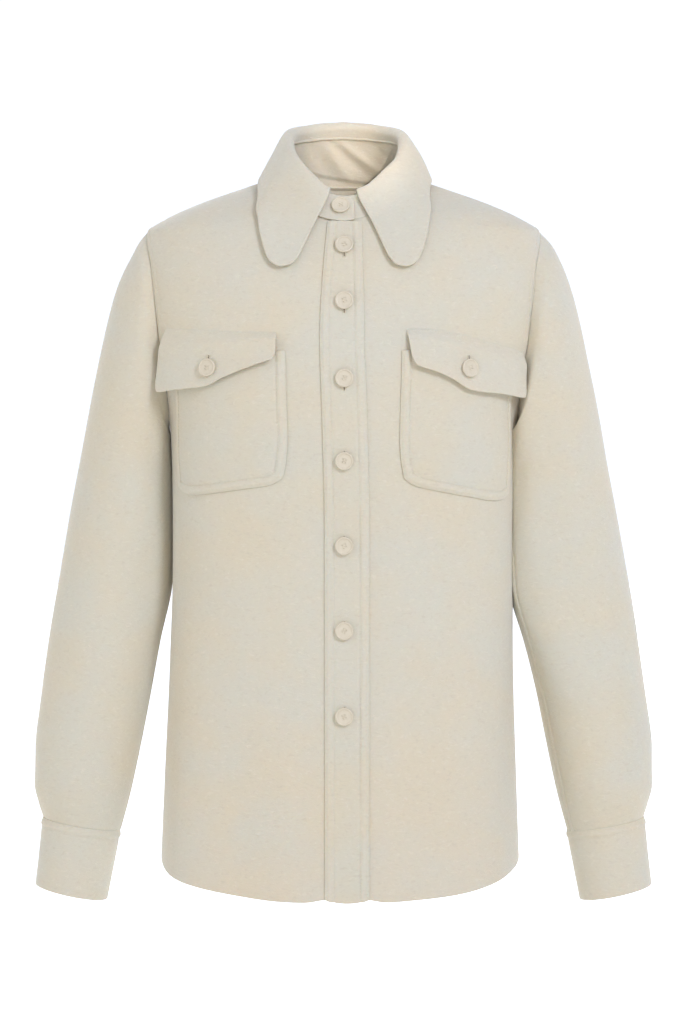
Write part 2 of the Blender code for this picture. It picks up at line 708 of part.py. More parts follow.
def build():
    for old in list(bpy.data.objects):
        bpy.data.objects.remove(old)
    wool = new_material("cream_felted_wool", CREAM_WOOL, 0.95)
    resin = new_material("cream_button", CREAM_BUTTON, 0.5)

    panels = (("front_left", front_panel(1)), ("front_right", front_panel(-1)), ("back", back_panel()))
    for name, (points, outward) in panels:
        add_cloth(name, points, CLOTH, wool, outward=outward)
    add_cloth("placket", placket(), CLOTH, wool)
    band = collar_stand()
    add_cloth("collar_stand", band, DOUBLE_CLOTH, wool, outward=unit(band * [1, 1, 0]))
    add_cloth("collar", collar(), DOUBLE_CLOTH, wool)

    left_sleeve, left_cuff = sleeve(), cuff()
    add_cloth("sleeve_left", left_sleeve, CLOTH, wool, tube=True)
    add_cloth("sleeve_right", mirrored(left_sleeve)[:, ::-1], CLOTH, wool, tube=True)
    add_cloth("cuff_left", left_cuff, DOUBLE_CLOTH, wool)
    add_cloth("cuff_right", mirrored(left_cuff)[:, ::-1], DOUBLE_CLOTH, wool)

    for side, name in ((1, "left"), (-1, "right")):
        add_cloth(f"pocket_{name}", pocket(side), CLOTH, wool)
        add_cloth(f"pocket_flap_{name}", flap(side), CLOTH, wool)
        add_flap_button(side, f"button_flap_{name}", resin)
    add_placket_buttons(resin)
    place = (COLLAR_BUTTON_TURN, COLLAR_BUTTON_SHARE)
    add_button("button_collar", stand(*place), face_direction(stand, *place), resin)
    add_cuff_buttons(resin)


build()
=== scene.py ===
"""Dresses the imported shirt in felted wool, sews and buttons it, and sets it in a plain studio.

Sizes are in millimetres and angles in degrees until a mesh is made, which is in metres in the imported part's
frame: +Z is up, the front faces -Y and +X is the wearer's left.
"""

import logging
import math
from abc import ABC, abstractmethod
from collections.abc import Iterator
from dataclasses import dataclass, field
from enum import Enum
from functools import cached_property
from itertools import chain

import bpy
import numpy as np
from mathutils import Matrix, Vector
from numpy.typing import NDArray


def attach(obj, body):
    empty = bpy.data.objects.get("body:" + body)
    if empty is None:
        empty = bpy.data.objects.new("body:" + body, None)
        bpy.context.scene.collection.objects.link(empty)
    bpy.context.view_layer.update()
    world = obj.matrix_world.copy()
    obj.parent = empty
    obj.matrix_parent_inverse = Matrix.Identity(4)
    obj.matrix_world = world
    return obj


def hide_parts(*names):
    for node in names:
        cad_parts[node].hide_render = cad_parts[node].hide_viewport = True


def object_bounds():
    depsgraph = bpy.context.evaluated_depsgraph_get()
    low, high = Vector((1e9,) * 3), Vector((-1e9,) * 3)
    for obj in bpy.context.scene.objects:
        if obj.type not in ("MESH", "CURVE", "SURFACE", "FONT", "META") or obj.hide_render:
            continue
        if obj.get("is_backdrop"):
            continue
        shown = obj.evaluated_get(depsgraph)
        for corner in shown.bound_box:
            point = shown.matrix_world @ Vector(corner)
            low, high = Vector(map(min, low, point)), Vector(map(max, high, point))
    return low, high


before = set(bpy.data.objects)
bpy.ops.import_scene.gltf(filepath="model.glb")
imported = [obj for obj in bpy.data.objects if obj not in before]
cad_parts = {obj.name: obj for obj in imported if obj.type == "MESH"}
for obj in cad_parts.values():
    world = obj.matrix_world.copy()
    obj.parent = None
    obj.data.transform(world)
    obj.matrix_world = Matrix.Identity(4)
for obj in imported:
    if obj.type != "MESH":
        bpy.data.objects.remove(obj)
CAD_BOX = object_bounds()

Array = NDArray[np.float64]
Faces = NDArray[np.int_]
# Points on the cloth, with the outward direction at each.
OnCloth = tuple[Array, Array]
Colour = tuple[float, float, float, float]
Place = tuple[float, float, float]
Material = bpy.types.Material
Mesh = bpy.types.Mesh
Object = bpy.types.Object
MM = 0.001
WEARER_BODY = "root"
# Walls of single and doubled cloth, and the gaps at a seam and under a piece that lies on another.
CLOTH = 2.0
DOUBLE_CLOTH = 2.8
SEAM_GAP = 0.4
LAY_GAP = 0.6
TO_FRONT = np.array([0.0, -SEAM_GAP / 2, 0.0])
TO_LEFT_RIGHT = np.array([-1.0, 1.0, 1.0])
UPWARD = np.array([0.0, 0.0, 1.0])
IN_PLAN = np.array([1.0, 1.0, 0.0])
log = logging.getLogger("shirt")


class Side(Enum):
    """A side of the shirt, as its wearer would call it, with the sign of its x."""

    LEFT = 1
    RIGHT = -1


class Held(Enum):
    """How a piece of cloth is carried."""

    HUNG = "hung"
    LAID = "laid"
    FOLDED = "folded"


def linear(code: str) -> Colour:
    """Turn an sRGB hex colour into linear light.

    Args:
        code: Six hex digits, red first.

    Returns:
        Linear red, green and blue, and an alpha of one.
    """
    parts = [int(code[i : i + 2], 16) / 255 for i in (0, 2, 4)]
    light = [c / 12.92 if c <= 0.04045 else ((c + 0.055) / 1.055) ** 2.4 for c in parts]
    return (light[0], light[1], light[2], 1.0)


def smooth(knots: Array, values: Array, at: Array) -> Array:
    """Draw a curve through knots that never swells past them (monotone cubic).

    Args:
        knots: Rising places.
        values: A number or a point for each place.
        at: Where to read the curve.

    Returns:
        The curve's values there.
    """
    values = np.asarray(values, float)
    at = np.clip(at, knots[0], knots[-1])
    wide = (1,) * (values.ndim - 1)
    step = np.diff(knots)
    slope = np.diff(values, axis=0) / step.reshape((-1, *wide))
    product = slope[:-1] * slope[1:]
    total = slope[:-1] + slope[1:]
    inner = np.where(product > 0, 2 * product / np.where(total == 0, 1, total), 0)
    tangent = np.concatenate([slope[:1], inner, slope[-1:]])
    i = np.clip(np.searchsorted(knots, at, side="right") - 1, 0, len(step) - 1)
    t = ((at - knots[i]) / step[i]).reshape((*at.shape, *wide))
    run = step[i].reshape((*at.shape, *wide))
    start = values[i] * (1 + 2 * t) * (1 - t) ** 2 + tangent[i] * run * t * (1 - t) ** 2
    end = values[i + 1] * t**2 * (3 - 2 * t) + tangent[i + 1] * run * t**2 * (t - 1)
    return start + end


def ease(share: Array) -> Array:
    """Go from 0 to 1 with a gentle start and end."""
    share = np.clip(share, 0, 1)
    return share * share * (3 - 2 * share)


def ramp(at: Array, start: float, end: float) -> Array:
    """Go gently from 0 at the start to 1 at the end."""
    return ease((at - start) / (end - start))


def unit(vectors: Array) -> Array:
    """Scale vectors to length one."""
    return vectors / np.linalg.norm(vectors, axis=-1, keepdims=True)


def square_to(vectors: Array, axes: Array) -> Array:
    """Take away what runs along the axes, and scale the rest to length one."""
    return unit(vectors - axes * (vectors * axes).sum(axis=-1, keepdims=True))


def run_along(points: Array) -> Array:
    """Measure the way from the first point to each one, or from the first row to each along its column."""
    strides = np.linalg.norm(np.diff(points, axis=0), axis=-1)
    return np.concatenate([np.zeros((1, *strides.shape[1:])), np.cumsum(strides, axis=0)])


def wrapped(angle: Array) -> Array:
    """Bring angles to between -180 and 180."""
    return (np.asarray(angle, float) + 180) % 360 - 180


def pairs(angle: Array | float, height: Array | float) -> Array:
    """Join angles and heights into (angle, height) places."""
    return np.stack(np.broadcast_arrays(np.asarray(angle, float), np.asarray(height, float)), axis=-1)


def crowded(count: int, start: bool = True, end: bool = True, crowding: float = 0.75) -> Array:
    """Divide 0 to 1 into spans that grow finer towards an edge.

    Args:
        count: How many spans.
        start: Whether the spans crowd at 0.
        end: Whether the spans crowd at 1.
        crowding: How much finer they get, from 0 for even spans to below 1.

    Returns:
        The places between and at the ends of the spans.
    """
    low, high = (0.0 if start else 0.5), (1.0 if end else 0.5)
    t = np.linspace(low, high, count + 1)
    bent = t - crowding * np.sin(2 * np.pi * t) / (2 * np.pi)
    return (bent - bent[0]) / (bent[-1] - bent[0])


def distance_to(points: Array, path: Array) -> Array:
    """Measure how far each point of a grid lies from a path of close points."""
    return np.stack([np.linalg.norm(row[:, None] - path[None], axis=-1).min(axis=1) for row in points])


def sheet_normals(points: Array, tube: bool) -> Array:
    """Find the outward direction at each point of a grid.

    Args:
        points: Rows of points, upward, each running leftward as the wearer faces.
        tube: Whether each row closes on itself.

    Returns:
        A unit vector for each point.
    """
    along = np.gradient(points, axis=0)
    if tube:
        across = np.roll(points, -1, axis=1) - np.roll(points, 1, axis=1)
    else:
        across = np.gradient(points, axis=1)
    return unit(np.cross(across, along))


@dataclass(frozen=True)
class Table:
    """Lines of sizes under a line of column names, read as smooth curves over the first column."""

    lines: str

    @cached_property
    def columns(self) -> list[str]:
        """Give the columns' names."""
        return self.lines.split("\n")[1].split()

    @cached_property
    def rows(self) -> Array:
        """Give the sizes, line by line."""
        return np.array([line.split() for line in self.lines.split("\n")[2:-1]], float)

    def read(self, name: str, at: Array) -> Array:
        """Read one named column at places along the first column."""
        return smooth(self.rows[:, 0], self.rows[:, self.columns.index(name)], np.asarray(at, float))


def crease_lift(creases: Table, points: Array) -> Array:
    """Say how far soft troughs and ridges between two (x, z) places move each point out.

    Args:
        creases: The two places of each crease, its spread, and its depth, which is negative for a trough.
        points: The points of the cloth.

    Returns:
        A distance for each point.
    """
    total = np.zeros(points.shape[:-1])
    for *ends, spread, depth in creases.rows:
        start, run = np.array(ends[:2]), np.subtract(ends[2:], ends[:2])
        away = points[..., [0, 2]] - start
        share = np.clip(away @ run / (run @ run), 0, 1)
        off = np.linalg.norm(away - share[..., None] * run, axis=-1)
        total = total + depth * np.exp(-((off / spread) ** 2)) * np.sin(np.pi * share)
    return total


@dataclass(frozen=True)
class Waviness:
    """The slight unevenness of felted cloth, as a few long waves in seeded directions."""

    depth: float
    period: float
    seed: int
    waves: int = 8

    def lift(self, points: Array) -> Array:
        """Say how far the waves move each point out, or in where negative."""
        draw = np.random.default_rng(self.seed)
        heading = unit(draw.normal(size=(self.waves, 3)))
        pace = 2 * np.pi / (self.period * draw.uniform(0.6, 1.7, self.waves))
        phase = draw.uniform(0, 2 * np.pi, self.waves)
        return self.depth * np.sin(points @ (heading * pace[:, None]).T + phase).mean(axis=-1) * 2


@dataclass(frozen=True)
class Welt:
    """A raised edge, held down by a row of stitches sunk into the nap."""

    inset: float = 9.0
    groove: float = 0.45
    spread: float = 1.6
    rise: float = 0.45
    roll: float = 1.0
    roll_spread: float = 2.2

    def lift(self, distance: Array) -> Array:
        """Say how far the welt moves a point at this distance from the edge."""
        line = self.groove * np.exp(-(((distance - self.inset) / self.spread) ** 2))
        rolled = self.roll * np.exp(-((distance / self.roll_spread) ** 2))
        raised = self.rise * (1 - ease((distance - self.inset + self.spread) / (2 * self.spread)))
        return raised - line - rolled


@dataclass
class Sheet:
    """A grid of points on a cloth's face, with outward directions and how far the relief stands out."""

    points: Array
    outward: Array
    relief: Array

    def on_side(self, side: Side) -> "Sheet":
        """Lay a sheet that is worked out for the left on this side, keeping its face outward."""
        if side is Side.LEFT:
            return self
        turned = (self.points[:, ::-1] * TO_LEFT_RIGHT, self.outward[:, ::-1] * TO_LEFT_RIGHT)
        return Sheet(*turned, self.relief[:, ::-1])

    def drawn_in(self, amount: float, tube: bool) -> Array:
        """Draw the open edges in, so that a round rim ends where the edge was.

        Args:
            amount: How far the very edge moves.
            tube: Whether each row closes on itself, with no side edges.

        Returns:
            The moved points.
        """
        points = self.points
        # The cloth behind the edge makes way over six times the distance, so that its grid doesn't bunch.
        reach = 6 * amount
        for axis in (0,) if tube else (0, 1):
            for way in (1, -1):
                lead = np.moveaxis(points, axis, 0)[::way]
                shift = amount * np.clip(1 - run_along(lead) / reach, 0, 1)
                lead = lead + unit(np.gradient(lead, axis=0)) * shift[..., None]
                points = np.moveaxis(lead[::way], 0, axis)
        return points


@dataclass(frozen=True)
class Cut:
    """A piece's flat cut in millimetres, with the share of its rectangle that is cloth."""

    width: float
    length: float
    share: float = 1.0
    held: Held = Held.HUNG


def quad_mesh(name: str, points: Array, quads: Faces) -> Mesh:
    """Make a smooth mesh of four-sided faces.

    Args:
        name: The mesh's name.
        points: One row for each corner, in millimetres.
        quads: Four corner numbers for each face.

    Returns:
        The mesh, in metres.
    """
    mesh = bpy.data.meshes.new(name)
    mesh.vertices.add(len(points))
    mesh.vertices.foreach_set("co", (points * MM).astype(np.float32).ravel())
    mesh.loops.add(quads.size)
    mesh.loops.foreach_set("vertex_index", quads.astype(np.int32).ravel())
    mesh.polygons.add(len(quads))
    mesh.polygons.foreach_set("loop_start", np.arange(0, quads.size, 4, dtype=np.int32))
    mesh.update(calc_edges=True)
    mesh.validate()
    mesh.shade_smooth()
    return mesh


def shell_mesh(name: str, outer: Array, inner: Array, tube: bool, rim_steps: int = 4) -> Mesh:
    """Close an outer and an inner grid into a thin shell with rounded rims.

    Args:
        name: The mesh's name.
        outer: The outer grid's points.
        inner: The inner grid's points.
        tube: Whether each row closes on itself.
        rim_steps: How many faces go round the rim.

    Returns:
        The closed mesh.
    """
    rows, spans = outer.shape[:2]
    number = np.arange(rows * spans).reshape(rows, spans)
    grid = np.concatenate([number, number[:, :1]], axis=1) if tube else number
    face = np.stack([grid[:-1, :-1], grid[:-1, 1:], grid[1:, 1:], grid[1:, :-1]], axis=-1).reshape(-1, 4)
    quads = [face, face[:, ::-1] + rows * spans]
    points = [outer.reshape(-1, 3), inner.reshape(-1, 3)]
    middle = ((outer + inner) / 2).reshape(-1, 3)
    if tube:
        loops = [number[0], number[-1, ::-1]]
    else:
        loops = [np.concatenate([number[0, :-1], number[:-1, -1], number[-1, :0:-1], number[:0:-1, 0]])]
    count = 2 * rows * spans
    for loop in loops:
        row, column = np.divmod(loop, spans)
        within = np.clip(row, 1, rows - 2) * spans + (column if tube else np.clip(column, 1, spans - 2))
        along = unit(np.roll(middle[loop], -1, axis=0) - np.roll(middle[loop], 1, axis=0))
        out = square_to(middle[loop] - middle[within], along)
        half = points[0][loop] - middle[loop]
        bulge = out * np.linalg.norm(half, axis=-1, keepdims=True)
        strip = [loop]
        for turn in np.pi * np.arange(1, rim_steps) / rim_steps:
            points.append(middle[loop] + half * math.cos(turn) + bulge * math.sin(turn))
            strip.append(count + np.arange(len(loop)))
            count += len(loop)
        strip.append(loop + rows * spans)
        for near, far in zip(strip, strip[1:]):
            quads.append(np.stack([np.roll(near, -1), near, far, np.roll(far, -1)], axis=-1))
    return quad_mesh(name, np.concatenate(points), np.concatenate(quads))


def face_mesh(name: str, points: list[Place], faces: list[list[int]]) -> Mesh:
    """Make a mesh of faces with any number of corners, from points in metres."""
    mesh = bpy.data.meshes.new(name)
    mesh.from_pydata(points, [], faces)
    return mesh


def second_finish(mesh: Mesh, first: int) -> None:
    """Give the faces from this number on the second of the mesh's materials."""
    slots = np.zeros(len(mesh.polygons), dtype=np.int32)
    slots[first:] = 1
    mesh.polygons.foreach_set("material_index", slots)


def link(name: str, data: bpy.types.ID) -> Object:
    """Put a mesh, a light or a camera into the scene as an object."""
    thing = bpy.data.objects.new(name, data)
    bpy.context.scene.collection.objects.link(thing)
    return thing


def add_piece(
    name: str, mesh: Mesh, finishes: list[Material], place: Matrix | None = None
) -> Object:
    """Put a mesh into the scene as a piece that rides with the shirt.

    Args:
        name: The piece's name.
        mesh: Its mesh.
        finishes: Its materials, in the order of the mesh's slots, or none if the mesh has them.
        place: Where it stands, if not at the part's origin.

    Returns:
        The new piece.
    """
    for finish in finishes:
        mesh.materials.append(finish)
    piece = link(name, mesh)
    if place is not None:
        piece.matrix_world = place
    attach(piece, WEARER_BODY)
    return piece


@dataclass(frozen=True)
class TorsoForm:
    """The filled-out body that the panels, placket, pockets, flaps and collar lie on."""

    sections: Table = Table("""
        height half_width front_depth back_depth squareness shift
        -725 181 114 110 2.5 -3.5
        -600 176 109 105 2.5 -3
        -480 171.5 107 99 2.45 -2
        -390 170 108 96 2.4 -0.6
        -300 170.8 115 99 2.4 0
        -245 173 119 104 2.4 0
        -200 182.5 118 108 2.4 0
        -149 196 113 110 2.4 0
        -100 201 103 108 2.4 0
        -75 200.5 94 104 2.4 0
        -53 195.5 84 98 2.4 0
        -40 176.5 76 92 2.4 0
        -25 143.5 61 83 2.35 0
        -10 101 44 69 2.3 0
        -3 80 32 59 2.25 0
        0 69 25 52 2.2 0
    """)
    flutes: Table = Table("""
        angle spread start end depth
        -66 9 -330 -690 3
        -45 8 -400 -700 -2.5
        -27 7 -430 -700 1.5
        33 8 -380 -700 -2
        52 9 -360 -690 2.5
        74 7 -340 -690 -2
        118 9 -320 -690 3.5
        140 8 -360 -700 -3
        163 10 -330 -700 4
        198 10 -330 -700 3.5
        221 8 -360 -700 -3
        243 9 -320 -690 3.5
    """)
    front_creases: Table = Table("""
        start_x start_z end_x end_z spread depth
        -150 -205 -96 -262 11 -1.2
        152 -200 104 -250 10 -1
        -88 -420 -140 -520 16 -0.9
        96 -470 132 -590 15 -0.8
        -60 -560 -52 -690 13 0.8
        -120 -90 -168 -150 14 -0.7
        118 -84 166 -140 13 -0.7
    """)
    back_creases: Table = Table("""
        start_x start_z end_x end_z spread depth
        -150 -190 -90 -300 12 -1.6
        146 -196 84 -290 13 -1.4
        -40 -330 -70 -520 18 -1.2
        58 -350 90 -560 17 -1.3
        -110 -120 110 -132 15 -0.8
        -20 -420 6 -640 16 1
    """)
    waviness: Waviness = Waviness(depth=0.45, period=85, seed=4)
    # How close to the side seams the folds run before they die out, so that both panels meet there.
    seam_calm: int = 10
    hem: float = -709.0
    hem_rise: float = 36.0
    hem_sweep: float = 1.6
    neck_half_width: float = 69.0
    neck_dip_front: float = 43.0
    neck_dip_back: float = 4.0
    armpit: float = -245.0
    shoulder_tip: float = -53.0
    armhole_swing_front: float = 15.5
    armhole_swing_back: float = 17.0

    def section(self, height: Array) -> dict[str, Array]:
        """Read every column of the sections at these heights."""
        return {name: self.sections.read(name, height) for name in self.sections.columns}

    def fullness(self, angle: Array, height: Array) -> Array:
        """Say how far the long flutes push the cloth out or in."""
        total = np.zeros(angle.shape)
        for middle, spread, start, end, depth in self.flutes.rows:
            away = wrapped(angle - middle) / spread
            total = total + depth * np.exp(-(away**2)) * ramp(height, start, end)
        return total

    def point(self, angle: Array | float, height: Array | float) -> Array:
        """Find points of the body's outer face.

        Args:
            angle: Angle from the front, through the wearer's left, to the back.
            height: Height above the shoulder points.

        Returns:
            A point for each pair of the two.
        """
        angle, height = np.broadcast_arrays(np.asarray(angle, float), np.asarray(height, float))
        at = self.section(height)
        sine, cosine = np.sin(np.radians(angle)), np.cos(np.radians(angle))
        depth = np.where(cosine > 0, at["front_depth"], at["back_depth"])
        power = at["squareness"]
        aside, ahead = np.abs(sine) / at["half_width"], np.abs(cosine) / depth
        reach = (aside**power + ahead**power) ** (-1 / power)
        reach = reach + self.fullness(angle, height)
        heading = np.stack([sine, -cosine, np.zeros(sine.shape)], axis=-1)
        place = np.stack([at["shift"] + reach * sine, -reach * cosine, height], axis=-1)
        front, back = (crease_lift(creases, place) for creases in (self.front_creases, self.back_creases))
        folds = np.where(cosine > 0, front, back) + self.waviness.lift(place)
        folds = folds * (1 - np.abs(sine) ** self.seam_calm)
        return place + heading * folds[..., None]

    def normal(self, angle: Array | float, height: Array | float) -> Array:
        """Find the outward direction of the body's face at each place."""
        angle, height = np.asarray(angle, float), np.asarray(height, float)
        turn = rise = 0.5
        along = self.point(angle + turn, height) - self.point(angle - turn, height)
        return unit(np.cross(along, self.point(angle, height + rise) - self.point(angle, height - rise)))

    def lifted(self, angle: Array, height: Array, lift: Array | float) -> Array:
        """Find points that stand off the body's face."""
        return self.point(angle, height) + self.normal(angle, height) * np.asarray(lift)[..., None]

    def front_angle(self, x: Array | float, height: Array | float) -> Array:
        """Find the angle of the front point with this x."""
        at = self.section(np.asarray(height, float))
        across = (x - at["shift"]) / at["half_width"]
        share = np.clip(1 - np.abs(across) ** at["squareness"], 0, 1) ** (1 / at["squareness"])
        return np.degrees(np.arctan2(x - at["shift"], at["front_depth"] * share))

    def hem_height(self, angle: Array) -> Array:
        """Find the shirt tail's height round the body."""
        return self.hem + self.hem_rise * (1 - np.abs(np.cos(np.radians(angle)))) ** self.hem_sweep

    def neckline(self, turn: Array | float) -> tuple[Array, Array]:
        """Find (angle, height) of the neckline, by turn round the neck from the front."""
        turn = np.radians(np.asarray(turn, float))
        x = self.neck_half_width * np.sin(turn)
        ahead = np.cos(turn) > 0
        height = -np.where(ahead, self.neck_dip_front, self.neck_dip_back) * np.cos(turn) ** 2
        at = self.section(height)
        across = np.clip(np.abs(x) / at["half_width"], 0, 1)
        share = (1 - across ** at["squareness"]) ** (1 / at["squareness"])
        depth = np.where(ahead, at["front_depth"], -at["back_depth"])
        return np.degrees(np.arctan2(x, depth * share)), height

    def armhole(self, turn: Array | float) -> tuple[Array, Array]:
        """Find (angle, height) of the left armhole, by turn from the shoulder through the front."""
        turn = np.radians(np.asarray(turn, float))
        middle, half = (self.shoulder_tip + self.armpit) / 2, (self.shoulder_tip - self.armpit) / 2
        swing = np.where(np.sin(turn) > 0, self.armhole_swing_front, self.armhole_swing_back)
        return 90 - swing * np.sin(turn), middle + half * np.cos(turn)


def fill_patch(bottom: Array, top: Array, left: Array, right: Array, across: Array, up: Array) -> Array:
    """Fill four edges of (angle, height) places with a grid (Coons patch).

    Args:
        bottom: The lower edge, one place for each share across.
        top: The upper edge.
        left: The edge at share 0, one place for each share up.
        right: The edge at share 1.
        across: Shares along the bottom and top.
        up: Shares along the sides.

    Returns:
        Rows of places, from the bottom up.
    """
    across, up = across[None, :, None], up[:, None, None]
    lengthwise = (1 - up) * bottom[None] + up * top[None]
    crosswise = (1 - across) * left[:, None] + across * right[:, None]
    low = (1 - across) * bottom[0] + across * bottom[-1]
    high = (1 - across) * top[0] + across * top[-1]
    return lengthwise + crosswise - (1 - up) * low - up * high


@dataclass(kw_only=True)
class ClothPiece(ABC):
    """A cut piece of felted wool, built as a thin shell with rounded edges over its solid's form."""

    node: str
    cut: Cut
    wall: float = CLOTH
    rests_on: tuple[str, ...] = ()
    tube: bool = False
    outer: Array = field(init=False, repr=False)
    outward: Array = field(init=False, repr=False)

    @abstractmethod
    def face(self) -> Sheet:
        """Work out the piece's outer face."""

    def build(self, wool: Material) -> Object:
        """Make the shell and dress it.

        Args:
            wool: The cloth's finish.

        Returns:
            The piece.
        """
        sheet = self.face()
        points = sheet.drawn_in(self.wall / 2, self.tube)
        self.outer = points + sheet.outward * sheet.relief[..., None]
        self.outward = sheet.outward
        mesh = shell_mesh(f"{self.node}_cloth", self.outer, points - sheet.outward * self.wall, self.tube)
        piece = add_piece(mesh.name, mesh, [wool])
        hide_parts(self.node)
        list(self.rests_on)
        return piece

    def inset_path(self, rows: Array, columns: Array, inset: float) -> OnCloth:
        """Follow the piece's edge at a distance inside it.

        Args:
            rows: Row numbers of the grid's edge points, in order.
            columns: Their column numbers.
            inset: Distance from the edge.

        Returns:
            The path's points on the face, and the outward direction at each.
        """
        last_row, last_column = self.outer.shape[0] - 2, self.outer.shape[1] - 2
        edge = self.outer[rows, columns]
        inward = self.outer[np.clip(rows, 1, last_row), np.clip(columns, 1, last_column)] - edge
        inward = square_to(inward, unit(np.gradient(edge, axis=0)))
        path = edge + inward * (inset - self.wall / 2)
        grid, outward = self.outer.reshape(-1, 3), self.outward.reshape(-1, 3)
        near = np.array([np.argmin(((grid - place) ** 2).sum(axis=-1)) for place in path])
        off = ((path - grid[near]) * outward[near]).sum(axis=-1, keepdims=True)
        return path - outward[near] * off, outward[near]

    def column_runs(self, columns: tuple[int, ...], first_row: int, inset: float) -> list[OnCloth]:
        """Follow side edges of the piece at a distance inside them.

        Args:
            columns: The edges' columns in the grid, -1 for the last.
            first_row: The row that the runs start from.
            inset: Distance from the edge.

        Returns:
            A run for each column.
        """
        rows = np.arange(first_row, self.outer.shape[0])
        edges = [np.full(rows.shape, column % self.outer.shape[1]) for column in columns]
        return [self.inset_path(rows, edge, inset) for edge in edges]

    def row_run(self, row: int, inset: float) -> list[OnCloth]:
        """Follow the first row of the grid, or the last one for -1, at a distance inside it."""
        columns = np.arange(self.outer.shape[1])
        return [self.inset_path(np.full(columns.shape, row % self.outer.shape[0]), columns, inset)]


ARMHOLE_WELT = Welt(inset=7.5, groove=0.3, rise=0.3, roll=0.7, roll_spread=2.4)


@dataclass(kw_only=True)
class FrontPanel(ClothPiece):
    """One of the two fronts, from its edge under the placket to the side seam."""

    torso: TorsoForm
    side: Side
    edge_x: float
    welt: Welt = ARMHOLE_WELT
    spans: int = 70
    rows_low: int = 140
    rows_edge: int = 62
    rows_neck: int = 30
    notch_x: float = 22.0
    notch_rise: float = 3.0
    notch_spread: float = 11.0

    def face(self) -> Sheet:
        """Work out the front's face, hem to shoulder."""
        torso, sign = self.torso, self.side.value
        spans = crowded(self.spans, start=False)
        start = sign * torso.front_angle(self.edge_x, torso.armpit)
        bottom = pairs(start + (90 - start) * spans, torso.armpit)
        top = pairs(90.0, torso.shoulder_tip * spans)
        neck_start = sign * math.degrees(math.asin(self.edge_x / torso.neck_half_width))
        neck_angle, neck_height = torso.neckline(np.linspace(neck_start, 90, self.rows_neck + 1))
        edge_height = np.linspace(torso.armpit, neck_height[0], self.rows_edge + 1)
        edge = pairs(sign * torso.front_angle(self.edge_x, edge_height), edge_height)
        left = np.concatenate([edge, pairs(neck_angle, neck_height)[1:]])
        up = np.linspace(0, 1, len(left))
        right = pairs(*torso.armhole(180 * (1 - up)))
        chest = fill_patch(bottom, top, left, right, spans, up)
        share = crowded(self.rows_low, end=False)[:, None]
        hem = self.notched_hem(bottom[:, 0])[None, :]
        low = pairs(bottom[None, :, 0] + 0 * share, hem + (torso.armpit - hem) * share)
        grid = np.concatenate([low, chest[1:]])
        angle, height = sign * grid[..., 0], grid[..., 1]
        fade = np.where(height < torso.armpit, 1 - spans[None, :], 0)
        angle = angle + fade * (torso.front_angle(self.edge_x, height) - sign * start)
        points = torso.point(angle, height) + TO_FRONT
        relief = np.zeros(height.shape)
        armhole = points[self.rows_low :, -1]
        relief[self.rows_low :] = self.welt.lift(distance_to(points[self.rows_low :], armhole))
        return Sheet(points[:, ::sign], torso.normal(angle, height)[:, ::sign], relief[:, ::sign])

    def notched_hem(self, angle: Array) -> Array:
        """Lift the hem a little where the placket crosses it."""
        x = self.torso.point(self.side.value * angle, self.torso.hem)[:, 0]
        away = (np.abs(x) - self.notch_x) / self.notch_spread
        return self.torso.hem_height(angle) + self.notch_rise * np.exp(-np.clip(away, 0, None) ** 2)

    def stitch_runs(self) -> list[OnCloth]:
        """Follow the welt round the front of the armhole."""
        column = -1 if self.side is Side.LEFT else 0
        return self.column_runs((column,), self.rows_low, self.welt.inset)


@dataclass(kw_only=True)
class BackPanel(ClothPiece):
    """The back, cut in one piece from side seam to side seam."""

    torso: TorsoForm
    welt: Welt = ARMHOLE_WELT
    spans_shoulder: int = 38
    spans_neck: int = 44
    rows_low: int = 130
    rows_high: int = 84

    def face(self) -> Sheet:
        """Work out the back's face, hem to shoulders."""
        torso = self.torso
        shoulder = torso.shoulder_tip * (1 - crowded(self.spans_shoulder, end=False))
        neck_angle, neck_height = torso.neckline(np.linspace(90, 270, self.spans_neck + 1))
        top = np.concatenate(
            [pairs(90.0, shoulder), pairs(neck_angle % 360, neck_height)[1:-1], pairs(270.0, shoulder[::-1])]
        )
        across = crowded(len(top) - 1)
        angles = 90 + 180 * across
        up = np.linspace(0, 1, self.rows_high + 1)
        left = pairs(*torso.armhole(180 + 180 * up))
        right = left * [-1, 1] + [360, 0]
        shoulders = fill_patch(pairs(angles, torso.armpit), top, left, right, across, up)
        share = crowded(self.rows_low, end=False)[:, None]
        hem = torso.hem_height(angles)[None, :]
        low = pairs(angles[None, :] + 0 * share, hem + (torso.armpit - hem) * share)
        grid = np.concatenate([low, shoulders[1:]])
        points = torso.point(grid[..., 0], grid[..., 1]) - TO_FRONT
        relief = np.zeros(grid.shape[:2])
        high = points[self.rows_low :]
        for column in (0, -1):
            relief[self.rows_low :] += self.welt.lift(distance_to(high, high[:, column]))
        return Sheet(points, torso.normal(grid[..., 0], grid[..., 1]), relief)

    def stitch_runs(self) -> list[OnCloth]:
        """Follow the welts round the back of both armholes."""
        return self.column_runs((0, -1), self.rows_low, self.welt.inset)


